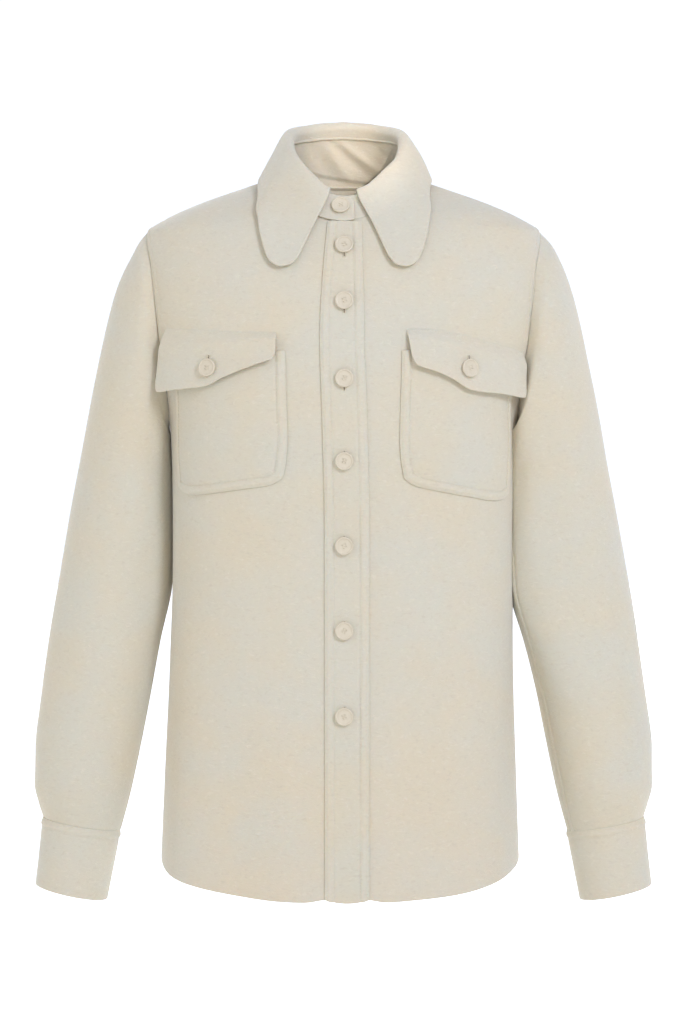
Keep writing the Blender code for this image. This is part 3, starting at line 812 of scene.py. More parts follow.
@dataclass(kw_only=True)
class Placket(ClothPiece):
    """The buttoned band over both front edges, with a stitched welt down each side."""

    torso: TorsoForm
    shape: Table = Table("""
        height middle half_width
        -709 3.4 22
        -340 3.2 22
        -220 0.4 22
        -155 -1.6 21.8
        -90 -0.4 19.5
        -46 1 17
    """)
    welt: Welt = Welt(inset=9.2, groove=0.6, spread=1.4, rise=0.5, roll=1.2)
    spans: int = 52
    rows: int = 300
    tail_curve: float = 3.4
    tail_share: float = 0.1

    def face(self) -> Sheet:
        """Work out the band's face, hem to collar seam."""
        across = 2 * crowded(self.spans, crowding=0.5)[None, :] - 1
        share = crowded(self.rows)[:, None]
        low, high = self.shape.rows[0][0], self.shape.rows[-1][0]
        tail = self.tail_curve * across**2 * (1 - ease(share / self.tail_share))
        height = low + tail + (high - low) * share
        middle = self.shape.read("middle", height)
        half = self.shape.read("half_width", height)
        angle = self.torso.front_angle(middle + half * across, height)
        points = self.torso.lifted(angle, height, np.full(height.shape, LAY_GAP + CLOTH)) + TO_FRONT
        relief = self.welt.lift(half * (1 - np.abs(across)))
        return Sheet(points, sheet_normals(points, False), relief)

    def stitch_runs(self) -> list[OnCloth]:
        """Follow both welts from the hem to the collar."""
        return self.column_runs((0, -1), 0, self.welt.inset)

    def seat(self, x: float, height: float) -> OnCloth:
        """Find where a button rests, and the way it faces."""
        angle = self.torso.front_angle(x, height)
        outward = self.torso.normal(angle, height)
        return self.torso.point(angle, height) + outward * (LAY_GAP + CLOTH) + TO_FRONT, outward


@dataclass(frozen=True)
class NeckForm:
    """How the collar stand rises from the neckline and how the collar folds over it."""

    torso: TorsoForm
    shape: Table = Table("""
        turn stand_left rise_left out_left stand_right rise_right out_right
        0 22 1.6 0 22 1.6 0
        15 21.4 1.6 0 22.3 1.8 0
        30 19.6 3.2 1 24.6 4 0
        45 20 5 3.6 26.2 5 0.4
        60 20.4 6 6 27 6.2 0
        75 25 7.5 5 30 8 -1.6
        90 31.2 9.6 3.4 33.4 9.4 -3
        112 36.4 11 1.2 37 10.6 -2.8
        135 40.6 12.2 0 40.8 11.9 -2
        158 44.6 13 0 44.8 13 -0.8
        180 46.5 13.5 0 46.5 13.5 0
    """)
    gap: float = 1.0
    lean: float = 0.185
    under_end: float = -9.0
    over_end: float = 369.0
    lap: float = 3.5

    @staticmethod
    def from_front(turn: Array) -> Array:
        """Fold a turn so that it is 0 at the front and 180 at the back."""
        return np.abs(wrapped(turn))

    def read(self, name: str, turn: Array) -> Array:
        """Read a column at turns round the neck, on the side that each turn lies."""
        fold = self.from_front(turn)
        left, right = (self.shape.read(f"{name}_{word}", fold) for word in ("left", "right"))
        return np.where(wrapped(turn) >= 0, left, right)

    def stand(self, turn: Array | float, share: Array | float) -> Array:
        """Find points of the stand's outer face.

        Args:
            turn: Turn round the neck from the front.
            share: Share of the stand's height.

        Returns:
            A point for each pair of the two.
        """
        turn, share = np.broadcast_arrays(np.asarray(turn, float), np.asarray(share, float))
        base = self.torso.point(*self.torso.neckline(turn))
        plan = base * IN_PLAN
        lap = self.lap * (turn - self.under_end) / (self.over_end - self.under_end)
        lap = lap + self.read("out", turn) * share
        points = plan * (1 - self.lean * share)[..., None] + unit(plan) * lap[..., None]
        points[..., 2] = base[..., 2] + self.gap + self.read("stand", turn) * share
        return points


@dataclass(kw_only=True)
class CollarStand(ClothPiece):
    """The band round the neck that carries the collar, its ends lapped and buttoned at the throat."""

    neck: NeckForm
    spans: int = 210
    rows: int = 56
    corner: float = 7.0
    # How far the stand goes on below its seam, and how much further at the back, from and to these turns.
    tuck: float = 0.14
    tuck_back: float = 0.2
    tuck_turns: tuple[float, float] = (60.0, 120.0)
    # The seam inside the neck, where the stand steps in from the back; it runs askew across the back.
    inner_seam: float = 3.0
    seam_share: float = 0.10
    seam_skew: float = 0.004
    seam_spread: float = 0.03
    seam_turns: tuple[float, float] = (95.0, 125.0)
    # How the wrinkles fade towards the seam and the top, below 1 where they keep their depth for longer.
    wrinkle_fade: float = 0.7
    creases: Table = Table("""
        turn slant spread depth
        158 58 7 -2.4
        172 44 6 1.6
        187 30 6 -2.2
        201 28 7 1.5
        215 22 7 -1.3
        128 40 8 1.2
        236 -18 8 -0.8
    """)

    def face(self) -> Sheet:
        """Work out the stand's face, seam to top."""
        neck = self.neck
        turn = np.linspace(neck.under_end, neck.over_end, self.spans + 1)[None, :]
        tuck = self.tuck + self.tuck_back * ramp(neck.from_front(turn), *self.tuck_turns)
        share = crowded(self.rows, crowding=0.4)[:, None] * (1 + tuck) - tuck
        across = np.radians(neck.over_end - turn) * neck.torso.neck_half_width
        within = np.clip(self.corner - across, 0, None)
        drop = self.corner - np.sqrt(np.clip(self.corner**2 - within**2, 0, None))
        share = share * (1 - drop / neck.read("stand", turn))
        points = neck.stand(turn, share)
        outward = unit(points * IN_PLAN)
        wrinkles = np.zeros(share.shape)
        for middle, slant, spread, depth in self.creases.rows:
            off = (turn - middle - slant * (share - 0.5)) / spread
            fade = np.sin(np.pi * np.clip(share, 0, 1)) ** self.wrinkle_fade
            wrinkles = wrinkles + depth * np.exp(-(off**2)) * fade
        seam_share = self.seam_share + self.seam_skew * (turn - 180)
        seam = self.inner_seam * (1 - ease((share - seam_share) / self.seam_spread))
        wrinkles = wrinkles + seam * ramp(neck.from_front(turn), *self.seam_turns)
        return Sheet(points + outward * wrinkles[..., None], outward, np.zeros(share.shape))

    def seat(self, turn: float, share: float) -> OnCloth:
        """Find where the throat button rests, and the way it faces."""
        step = 0.01
        along = self.neck.stand(turn + step, share) - self.neck.stand(turn - step, share)
        rise = self.neck.stand(turn, share + step) - self.neck.stand(turn, share - step)
        return self.neck.stand(turn, share), unit(np.cross(along, rise))


@dataclass(kw_only=True)
class Collar(ClothPiece):
    """The collar, from its seam on the stand, over the fold and down to its rounded points."""

    neck: NeckForm
    edge: Table = Table("""
        turn angle height
        13 24.5 -82
        16 27.4 -90
        21 31.8 -92
        27 36.1 -88
        34 39.6 -78
        44 43.6 -62
        56 48.3 -44
        68 55.8 -27
        80 67.5 -13
        93 90 -3
        110 113 -5.5
        135 139 -11
        152 154 -14.6
        168 168.6 -16.8
        180 180 -17
    """)
    # The right side rests closer to the neck on the shoulder than the left.
    edge_right: Table = Table("""
        turn angle height
        56 48.3 -44
        68 55.8 -27
        80 67.3 -12.5
        88 80.5 -4.2
        95 92 -1.8
        110 113 -4.2
        135 139 -11
        152 154 -14.6
        168 168.6 -16.8
        180 180 -17
    """)
    fold_radius: float = 3.9
    lift: float = 1.5
    bulge: float = 2.2
    bulge_right: float = 0.4
    bulge_rise: float = 0.6
    knots: tuple[float, ...] = (0.0, 0.04, 0.13, 0.22, 0.30, 0.63, 1.0)
    tuck: float = 2.2
    tuck_in: float = 0.15
    spans: int = 210
    rows: int = 60
    waviness: Waviness = Waviness(depth=0.35, period=60, seed=11)

    def free_edge(self, turn: Array) -> Array:
        """Find the collar's free edge, which lies just off the body."""
        way = np.sign(wrapped(turn))
        fold = self.neck.from_front(turn)
        rested = (way < 0) & (fold > self.edge_right.rows[0][0])
        angle, height = (
            np.where(rested, self.edge_right.read(name, fold), self.edge.read(name, fold))
            for name in ("angle", "height")
        )
        return self.neck.torso.lifted(way * angle, height, np.full(turn.shape, self.lift + self.wall))

    def face(self) -> Sheet:
        """Work out the collar's upper face, seam to free edge."""
        first = self.edge.rows[0][0]
        turn = first + (360 - 2 * first) * crowded(self.spans)
        top = self.neck.stand(turn, np.ones_like(turn))
        out = unit(top * IN_PLAN)
        rise = self.neck.read("rise", turn)[:, None]
        seam = top - out * self.wall + UPWARD * self.neck.gap
        below_fold = seam + UPWARD * (rise - self.fold_radius) - out * rise * self.neck.lean
        crown = below_fold + (out + UPWARD) * self.fold_radius
        over = below_fold + out * 2 * self.fold_radius
        start = seam - UPWARD * self.tuck - out * self.tuck_in
        edge = self.free_edge(turn)
        on_left = (np.sin(np.radians(turn)) > 0)[:, None]
        bulge = np.where(on_left, self.bulge, self.bulge_right)
        halfway = (over + edge) / 2 + unit(out + self.bulge_rise * UPWARD) * bulge
        path = np.stack([start, seam, below_fold, crown, over, halfway, edge])
        points = smooth(np.array(self.knots), path, crowded(self.rows, crowding=0.5))
        points = points + sheet_normals(points, False) * self.waviness.lift(points)[..., None]
        return Sheet(points, sheet_normals(points, False), np.zeros(points.shape[:2]))


# The power of a round ring; a higher one makes it squarer.
ROUND = 2.0


def ring_points(table: Table, station: Array, turn: Array, square: Array | float = ROUND) -> Array:
    """Find points on the rings of a sleeve or cuff.

    Args:
        table: The rings' sizes by station.
        station: Station along the arm, one for each row.
        turn: Turn round the arm from its outer line through the front, one for each column.
        square: The power of the quarter between the front and the body.

    Returns:
        Rows of points.
    """
    at = {name: table.read(name, station)[:, None] for name in table.columns}
    cosine, sine = np.cos(np.radians(turn))[None, :], np.sin(np.radians(turn))[None, :]
    power = np.where((sine > 0) & (cosine < 0), ROUND / np.asarray(square), 1.0)
    cosine, sine = (np.sign(wave) * np.abs(wave) ** power for wave in (cosine, sine))
    middle_x, half_x = (at["outer_x"] + at["inner_x"]) / 2, (at["outer_x"] - at["inner_x"]) / 2
    middle_z, half_z = (at["outer_z"] + at["inner_z"]) / 2, (at["outer_z"] - at["inner_z"]) / 2
    depth = np.where(sine > 0, at["front_depth"], at["back_depth"])
    place = (middle_x + half_x * cosine, at["middle_y"] - depth * sine, middle_z + half_z * cosine)
    return np.stack(place, axis=-1)


@dataclass(kw_only=True)
class Sleeve(ClothPiece):
    """A set-in sleeve with its seam under the arm."""

    torso: TorsoForm
    side: Side
    seam_turn: float
    waviness: Waviness
    tube: bool = True
    rings: Table = Table("""
        station outer_x outer_z inner_x inner_z front_depth back_depth middle_y
        0 195.5 -53 173 -245 49.5 56 0
        1 207 -65 174.2 -247 56 60 0
        2 217 -83 174.5 -250 60 63 1
        3 226.5 -108 172.9 -256 62 65 3
        4 236 -143 172.4 -267 63 65 6
        5 246.5 -190 171.6 -286 62 64 10
        6 257.5 -243 170.8 -314 61 62 14
        7 270.5 -312 170.6 -352 59 60 17
        8 282.5 -380 172.4 -402 58 58 17
        9 293.5 -446 184.6 -462 57 57 13
        10 303 -514 197 -530 56 56 7
        11 308.8 -567 207.5 -583 54 54 2
        12 308.8 -600 214.5 -615 50 50 -2
        13 305 -622 220 -636 44 44 -4
        14 301 -635 223.5 -648.5 39 39 -5
    """)
    creases: Table = Table("""
        station turn station_spread turn_spread depth
        5.6 128 0.9 20 -2.5
        6.9 112 0.8 24 2
        8.2 125 0.9 22 -2
        9.4 60 0.8 30 -1.5
        5.8 232 0.9 22 -2.5
        7.4 246 0.9 24 2
        8.6 285 0.9 30 -2
        12.3 75 0.5 18 1.2
        12.3 20 0.5 16 1.2
        12.3 250 0.5 18 1.2
    """)
    seam: Welt = Welt(inset=6.5, groove=0.8, spread=1.2, rise=0.7, roll=0.0)
    spans: int = 120
    rows: int = 200
    # The station where the sleeve's own rings have taken over from the armhole's line.
    cap_stations: float = 4.0
    # How much the head is trimmed, at which station and over how many.
    head_trim: float = 0.0
    head_station: float = 1.6
    head_spread: float = 1.1
    # How the sleeve lies against the body: how square it gets, how far it leans in, and the gap left.
    square: float = ROUND
    hug: float = 0.0
    rest_gap: float = 0.6
    # The stations over which it fills out, leans in, comes to rest on the body and comes away from it again.
    filling: tuple[float, float] = (0.4, 1.8)
    leaning: tuple[float, float] = (0.9, 2.7)
    resting: tuple[float, float] = (1.2, 2.6)
    parting: tuple[float, float] = (8.0, 10.0)
    # The stations over which the seam and the cloth's waves come in below the armhole.
    seam_start: tuple[float, float] = (1.0, 3.0)
    wave_start: tuple[float, float] = (0.0, 2.0)
    # The turn that faces the body, and how far to each side of it the cloth lies too close to wave.
    body_turn: float = 180.0
    body_spread: float = 45.0
    # How far each end goes on under its neighbour, and how far below its own face it then lies.
    tuck_armhole: tuple[tuple[float, float], ...] = ((4.0, 2.4), (1.5, 0.7))
    tuck_cuff: tuple[tuple[float, float], ...] = ((2.0, 0.6), (6.0, 2.6))

    def wrinkles(self, station: Array, turn: Array) -> Array:
        """Say how far the sleeve's soft creases push it out or in."""
        total = np.zeros(np.broadcast(station, turn).shape)
        for at, middle, station_spread, turn_spread, depth in self.creases.rows:
            off = ((station - at) / station_spread) ** 2 + (wrapped(turn - middle) / turn_spread) ** 2
            total = total + depth * np.exp(-off)
        return total

    def tucked(self, rings: Array) -> Array:
        """Carry both ends on under the armhole's edge and into the cuff, so that no gap shows at a seam."""
        outward = sheet_normals(rings, True)
        back, on = unit(rings[0] - rings[3]), unit(rings[-1] - rings[-4])
        start = [rings[0] + back * run - outward[0] * sink for run, sink in self.tuck_armhole]
        end = [rings[-1] + on * run - outward[-1] * sink for run, sink in self.tuck_cuff]
        return np.concatenate([start, rings, end])

    def body_side(self, points: Array) -> Array:
        """Find the x at which the sleeve rests on the side of the body, level with each point."""
        at = self.torso.section(points[..., 2])
        depth = np.where(points[..., 1] < 0, at["front_depth"], at["back_depth"])
        off = np.clip(np.abs(points[..., 1]) / depth, 0, 1)
        wide = at["half_width"] * (1 - off ** at["squareness"]) ** (1 / at["squareness"])
        return self.side.value * at["shift"] + wide + self.rest_gap

    def hung(self, station: Array, turn: Array) -> Array:
        """Hang the left sleeve's rings from the armhole, crease them and rest them on the body.

        Args:
            station: Station along the arm, one for each row.
            turn: Turn round the arm, one for each column.

        Returns:
            Rows of points.
        """
        toward_body = np.clip(-np.cos(np.radians(turn)), 0, 1)[None, :]
        away_from_body = np.clip(np.cos(np.radians(turn)), 0, 1)[None, :]
        close = (1 - ramp(station, *self.parting))[:, None]
        full = ramp(station, *self.filling)[:, None] * close
        rings = ring_points(self.rings, station, turn, ROUND + (self.square - ROUND) * full)
        trim = self.head_trim * np.exp(-(((station - self.head_station) / self.head_spread) ** 2))[:, None]
        rings[..., 0] -= trim * away_from_body
        seam = self.torso.point(*self.torso.armhole(turn)) - ring_points(self.rings, np.zeros(1), turn)[0]
        rings = rings + seam[None] * (1 - ease(station / self.cap_stations))[:, None, None]
        middle = rings.mean(axis=1, keepdims=True)
        calm = np.exp(-(((turn - self.body_turn) / self.body_spread) ** 2))[None, :]
        waves = self.waviness.lift(rings) * ramp(station, *self.wave_start)[:, None] * (1 - calm)
        push = self.wrinkles(station[:, None], turn[None, :]) + waves
        rings = rings + unit(rings - middle) * push[..., None]
        rings[..., 0] -= self.hug * ramp(station, *self.leaning)[:, None] * close * toward_body
        overlap = np.clip(self.body_side(rings) - rings[..., 0], 0, None)
        rings[..., 0] += overlap * ramp(station, *self.resting)[:, None]
        return rings

    def face(self) -> Sheet:
        """Work out the sleeve's face, armhole to cuff."""
        turn = (self.seam_turn + 360 * crowded(self.spans, crowding=0.6)[:-1]) % 360
        station = self.rings.rows[-1][0] * crowded(self.rows, crowding=0.6)
        rings = self.hung(station, turn)
        rings[0] = rings[0] + unit(rings[1] - rings[0]) * SEAM_GAP
        rings = self.tucked(rings)
        station = np.pad(station, 2, mode="edge")
        from_seam = np.linalg.norm(rings - rings[:, :1], axis=-1)
        ahead = np.arange(self.spans)[None, :] > self.spans / 2
        fade = ramp(station, *self.seam_start)[:, None]
        crack = -self.seam.groove * np.exp(-((from_seam / self.seam.spread) ** 2))
        relief = fade * np.where(ahead, self.seam.lift(from_seam), 0) + fade * crack
        return Sheet(rings, sheet_normals(rings, True), relief).on_side(self.side)


@dataclass(kw_only=True)
class Cuff(ClothPiece):
    """A band cuff, lapped and buttoned behind the wrist."""

    side: Side
    rings: Table = Table("""
        station outer_x outer_z inner_x inner_z front_depth back_depth middle_y
        0 303 -635.6 223.2 -649.2 39.5 39.5 -5
        1 303.2 -643 225 -656.8 39.5 39.5 -5
        2 306 -672 231 -687 38.5 38.5 -6
        3 309.6 -704 237.4 -719.5 37.5 37.5 -7
    """)
    lap_middle: float = 292.0
    lap: float = 36.0
    lap_step: float = 4.2
    welt: Welt = Welt(inset=9.0, groove=0.6, rise=0.7, roll=1.5, roll_spread=3.2)
    spans: int = 132
    rows: int = 44

    def point(self, along: Array, station: Array) -> Array:
        """Find points of the left cuff's outer face, along the band from its under end."""
        rings = ring_points(self.rings, station, along + self.lap_middle - self.lap / 2)
        middle = ring_points(self.rings, station, np.array([0.0, 180.0])).mean(axis=1, keepdims=True)
        step = self.lap_step * (along / (360 + self.lap) - 0.5)
        return rings + unit(rings - middle) * step[None, :, None]

    def face(self) -> Sheet:
        """Work out the cuff's face, sleeve seam to wrist edge."""
        along = (360 + self.lap) * np.linspace(0, 1, self.spans + 1)
        station = self.rings.rows[-1][0] * crowded(self.rows, crowding=0.5)
        points = self.point(along, station)
        relief = self.welt.lift(run_along(points))
        return Sheet(points, sheet_normals(points, False), relief).on_side(self.side)

    def stitch_runs(self) -> list[OnCloth]:
        """Follow the welt below the sleeve seam."""
        return self.row_run(0, self.welt.inset)

    def seat(self, along: float, station: float) -> OnCloth:
        """Find where the cuff's button rests, and the way it faces."""
        step = 0.01
        rim = self.point(np.array([along - step, along + step]), np.array([station]))[0]
        drop = self.point(np.array([along]), np.array([station - step, station + step]))[:, 0]
        outward = unit(np.cross(rim[1] - rim[0], drop[1] - drop[0]))
        place = self.point(np.array([along]), np.array([station]))[0, 0]
        flip = np.array([self.side.value, 1.0, 1.0])
        return place * flip, outward * flip


def unit_grid(
    spans: int, rows: int, crowding: float, corners: tuple[float, float], pull: float = 0.25
) -> tuple[Array, Array]:
    """Spread a unit square's grid with its two lower corners rounded.

    Args:
        spans: How many spans go from the inner to the outer side.
        rows: How many spans go from the top to the bottom.
        crowding: How much finer the spans get towards the edges.
        corners: Share of the square that the inner and the outer corner take.
        pull: How far a corner draws in, as a share of its size.

    Returns:
        The share across and the share down of each place.
    """
    across, down = np.meshgrid(crowded(spans, crowding=crowding) * 2 - 1, crowded(rows, crowding=crowding))
    corner = np.where(across < 0, *corners)
    deep = np.clip((down - 1 + 2 * corner) / (2 * corner), 0, 1)
    wide = np.clip((np.abs(across) - 1 + 2 * corner) / (2 * corner), 0, 1)
    drawn = pull * corner * deep**2 * wide**2
    return (across - np.sign(across) * 2 * drawn + 1) / 2, down - drawn


@dataclass(kw_only=True)
class PatchPocket(ClothPiece):
    """A patch pocket with a stitched border, sewn on a front."""

    torso: TorsoForm
    side: Side
    inner_top: float = 56.0
    inner_bottom: float = 52.5
    outer_top: float = 68.5
    outer_bottom: float = 79.0
    top_inner: float = -171.0
    top_outer: float = -186.0
    bottom_inner: float = -300.0
    bottom_outer: float
    corners: tuple[float, float] = (0.20, 0.36)
    # How far the pocket swells, and where it swells most: 1 for its middle and less for higher up.
    swell: float = 2.6
    swell_place: float = 0.8
    welt: Welt = Welt(inset=9.6, groove=0.8, spread=1.5, rise=0.6, roll=1.5, roll_spread=2.6)
    spans: int = 76
    rows: int = 76

    def face(self) -> Sheet:
        """Work out the pocket's face, bottom to top."""
        sign = self.side.value
        across, down = unit_grid(self.spans, self.rows, crowding=0.4, corners=self.corners)
        top = self.top_inner + (self.top_outer - self.top_inner) * across
        bottom = self.bottom_inner + (self.bottom_outer - self.bottom_inner) * across
        height = top + (bottom - top) * down
        inner_x = self.inner_top + (self.inner_bottom - self.inner_top) * down
        inner = self.torso.front_angle(sign * inner_x, height) * sign
        outer = self.outer_top + (self.outer_bottom - self.outer_top) * down
        angle = sign * (inner + (outer - inner) * across)
        swell = np.sin(np.pi * across) * np.sin(np.pi * np.clip(down, 0, 1) ** self.swell_place)
        points = self.torso.lifted(angle, height, LAY_GAP + CLOTH + self.swell * swell)
        points = (points + TO_FRONT)[::-1, ::sign]
        border = np.concatenate([points[::-1, 0], points[0], points[:, -1]])
        relief = self.welt.lift(distance_to(points, border))
        return Sheet(points, sheet_normals(points, False), relief)

    def stitch_runs(self) -> list[OnCloth]:
        """Follow the border down one side, along the bottom and up the other."""
        rows, columns = np.arange(self.outer.shape[0]), np.arange(self.outer.shape[1])
        run_rows = np.concatenate([rows[::-1], 0 * columns[1:-1], rows])
        run_columns = np.concatenate([0 * rows, columns[1:-1], 0 * rows + columns[-1]])
        return [self.inset_path(run_rows, run_columns, self.welt.inset)]


@dataclass(kw_only=True)
class PocketFlap(ClothPiece):
    """A shaped flap, sewn above a pocket and buttoned down over it."""

    torso: TorsoForm
    side: Side
    shape: Table
    # Where the inner end starts at the seam, and how far out it has run at the lower edge. The outer end
    # reaches its angle at the lower edge, and starts short of it at the seam by its own run, in degrees.
    inner_x: float
    inner_run: float = 0.0
    outer_run: float = 0.0
    outer_angle: float = 73.0
    corners: tuple[float, float] = (0.14, 0.10)
    clearance: float = 1.2
    lift: float = 5.0
    corner_lift: float
    seam_lift: float = 0.4
    # The shares of its depth over which it rises from the seam, and over the pocket's edge.
    seam_rise: float = 0.3
    pocket_rise: float = 0.35
    spans: int = 84
    rows: int = 36
    seam: Welt = Welt(inset=5.0, groove=0.2, rise=0.3, roll=1.0, roll_spread=3.0)

    def point(self, share: Array, down: Array) -> Array:
        """Find points of the flap's face.

        Args:
            share: Share of its width, from the inner end.
            down: Share of its depth, from the seam.

        Returns:
            A point for each pair of the two.
        """
        sign = self.side.value
        top, bottom = self.shape.read("top", share), self.shape.read("bottom", share)
        height = top + (bottom - top) * down
        inner = self.torso.front_angle(sign * (self.inner_x + self.inner_run * down), height) * sign
        outer = self.outer_angle - self.outer_run * (1 - down)
        angle = sign * (inner + (outer - inner) * share)
        over_pocket = CLOTH + LAY_GAP + self.clearance
        lift = self.seam_lift + (LAY_GAP + CLOTH - self.seam_lift) * ease(down / self.seam_rise)
        lift = lift + over_pocket * ease(down / self.pocket_rise) + self.lift * down**2
        lift = lift + self.corner_lift * share**3 * down
        return self.torso.lifted(angle, height, lift) + TO_FRONT

    def face(self) -> Sheet:
        """Work out the flap's face, lower edge to seam."""
        across, down = unit_grid(self.spans, self.rows, crowding=0.5, corners=self.corners)
        points = self.point(across, down)[::-1, :: self.side.value]
        relief = self.seam.lift(distance_to(points, points[-1]))
        return Sheet(points, sheet_normals(points, False), relief)

    def stitch_runs(self) -> list[OnCloth]:
        """Follow the stitches below the flap's seam."""
        return self.row_run(-1, self.seam.inset)

    def seat(self, share: float, down: float) -> OnCloth:
        """Find where the flap's button rests, and the way it faces."""
        step = 0.01
        wide = self.point(np.array([share - step, share + step]), np.array([down, down]))
        deep = self.point(np.array([share, share]), np.array([down - step, down + step]))
        outward = -self.side.value * unit(np.cross(wide[1] - wide[0], deep[1] - deep[0]))
        return self.point(np.array(share), np.array(down)), outward


@dataclass(frozen=True)
class Stitch:
    """One stitch of sewing thread: a short arched strand whose ends dive into the cloth."""

    length: float = 2.3
    thickness: float = 0.42
    arch: float = 0.25
    # How far the strand's ends taper, 0 for not at all and 1 for a point.
    taper: float = 0.85
    sides: int = 6
    rings: int = 4

    def strand(self) -> tuple[Array, Faces]:
        """Shape the strand along x, arched towards z.

        Returns:
            Its points, and its faces as four point numbers each.
        """
        along = np.linspace(-1, 1, self.rings)
        turn = 2 * np.pi * np.arange(self.sides) / self.sides
        radius = self.thickness / 2 * np.sqrt(1 - (self.taper * along) ** 2)
        x = np.repeat(along * self.length / 2, self.sides)
        y = (radius[:, None] * np.cos(turn)).ravel()
        z = (radius[:, None] * np.sin(turn) + (self.arch * (1 - along**2) - self.arch)[:, None]).ravel()
        number = np.arange(self.rings * self.sides).reshape(self.rings, self.sides)
        ahead = np.roll(number, -1, axis=1)
        sides = np.stack([number[:-1], ahead[:-1], ahead[1:], number[1:]], axis=-1).reshape(-1, 4)
        # Two four-sided faces close each end of the six-sided strand.
        caps = [[0, 3, 2, 1], [0, 5, 4, 3], [0, 1, 2, 3], [0, 3, 4, 5]]
        offset = np.array([0, 0, number[-1, 0], number[-1, 0]])[:, None]
        return np.stack([x, y, z], axis=-1), np.concatenate([sides, np.array(caps) + offset])

    def sewn(self, places: Array, along: Array, outward: Array) -> tuple[Array, Faces]:
        """Repeat the strand at many places.

        Args:
            places: The middle of each stitch.
            along: The way each stitch runs.
            outward: The way the cloth faces there.

        Returns:
            All points, and all faces as four point numbers each.
        """
        points, quads = self.strand()
        across = unit(np.cross(outward, along))
        axes = np.stack([along, across, np.cross(along, across)], axis=1)
        many = places[:, None] + points[None] @ axes
        shifted = quads[None] + (len(points) * np.arange(len(places)))[:, None, None]
        return many.reshape(-1, 3), shifted.reshape(-1, 4)


@dataclass(frozen=True)
class Sewing:
    """Rows of lockstitch along the welts, sunk into the nap."""

    stitch: Stitch = Stitch()
    pitch: float = 3.2
    proud: float = 0.04

    def build(self, name: str, runs: list[OnCloth], thread: Material) -> Object:
        """Sew rows of stitches as one piece.

        Args:
            name: The piece's name.
            runs: Paths on the cloth, each with its outward directions.
            thread: The thread's finish.

        Returns:
            The piece.
        """
        points, quads, count = [], [], 0
        for path, outward in runs:
            run = run_along(path)
            middles = np.arange(self.pitch / 2, run[-1], self.pitch)
            place = np.stack([np.interp(middles, run, path[:, k]) for k in range(3)], axis=-1)
            facing = unit(np.stack([np.interp(middles, run, outward[:, k]) for k in range(3)], axis=-1))
            heading = square_to(unit(np.gradient(place, axis=0)), facing)
            sewn, faces = self.stitch.sewn(place + facing * self.proud, heading, facing)
            points.append(sewn)
            quads.append(faces + count)
            count += len(sewn)
        mesh = quad_mesh(name, np.concatenate(points), np.concatenate(quads))
        return add_piece(name, mesh, [thread])


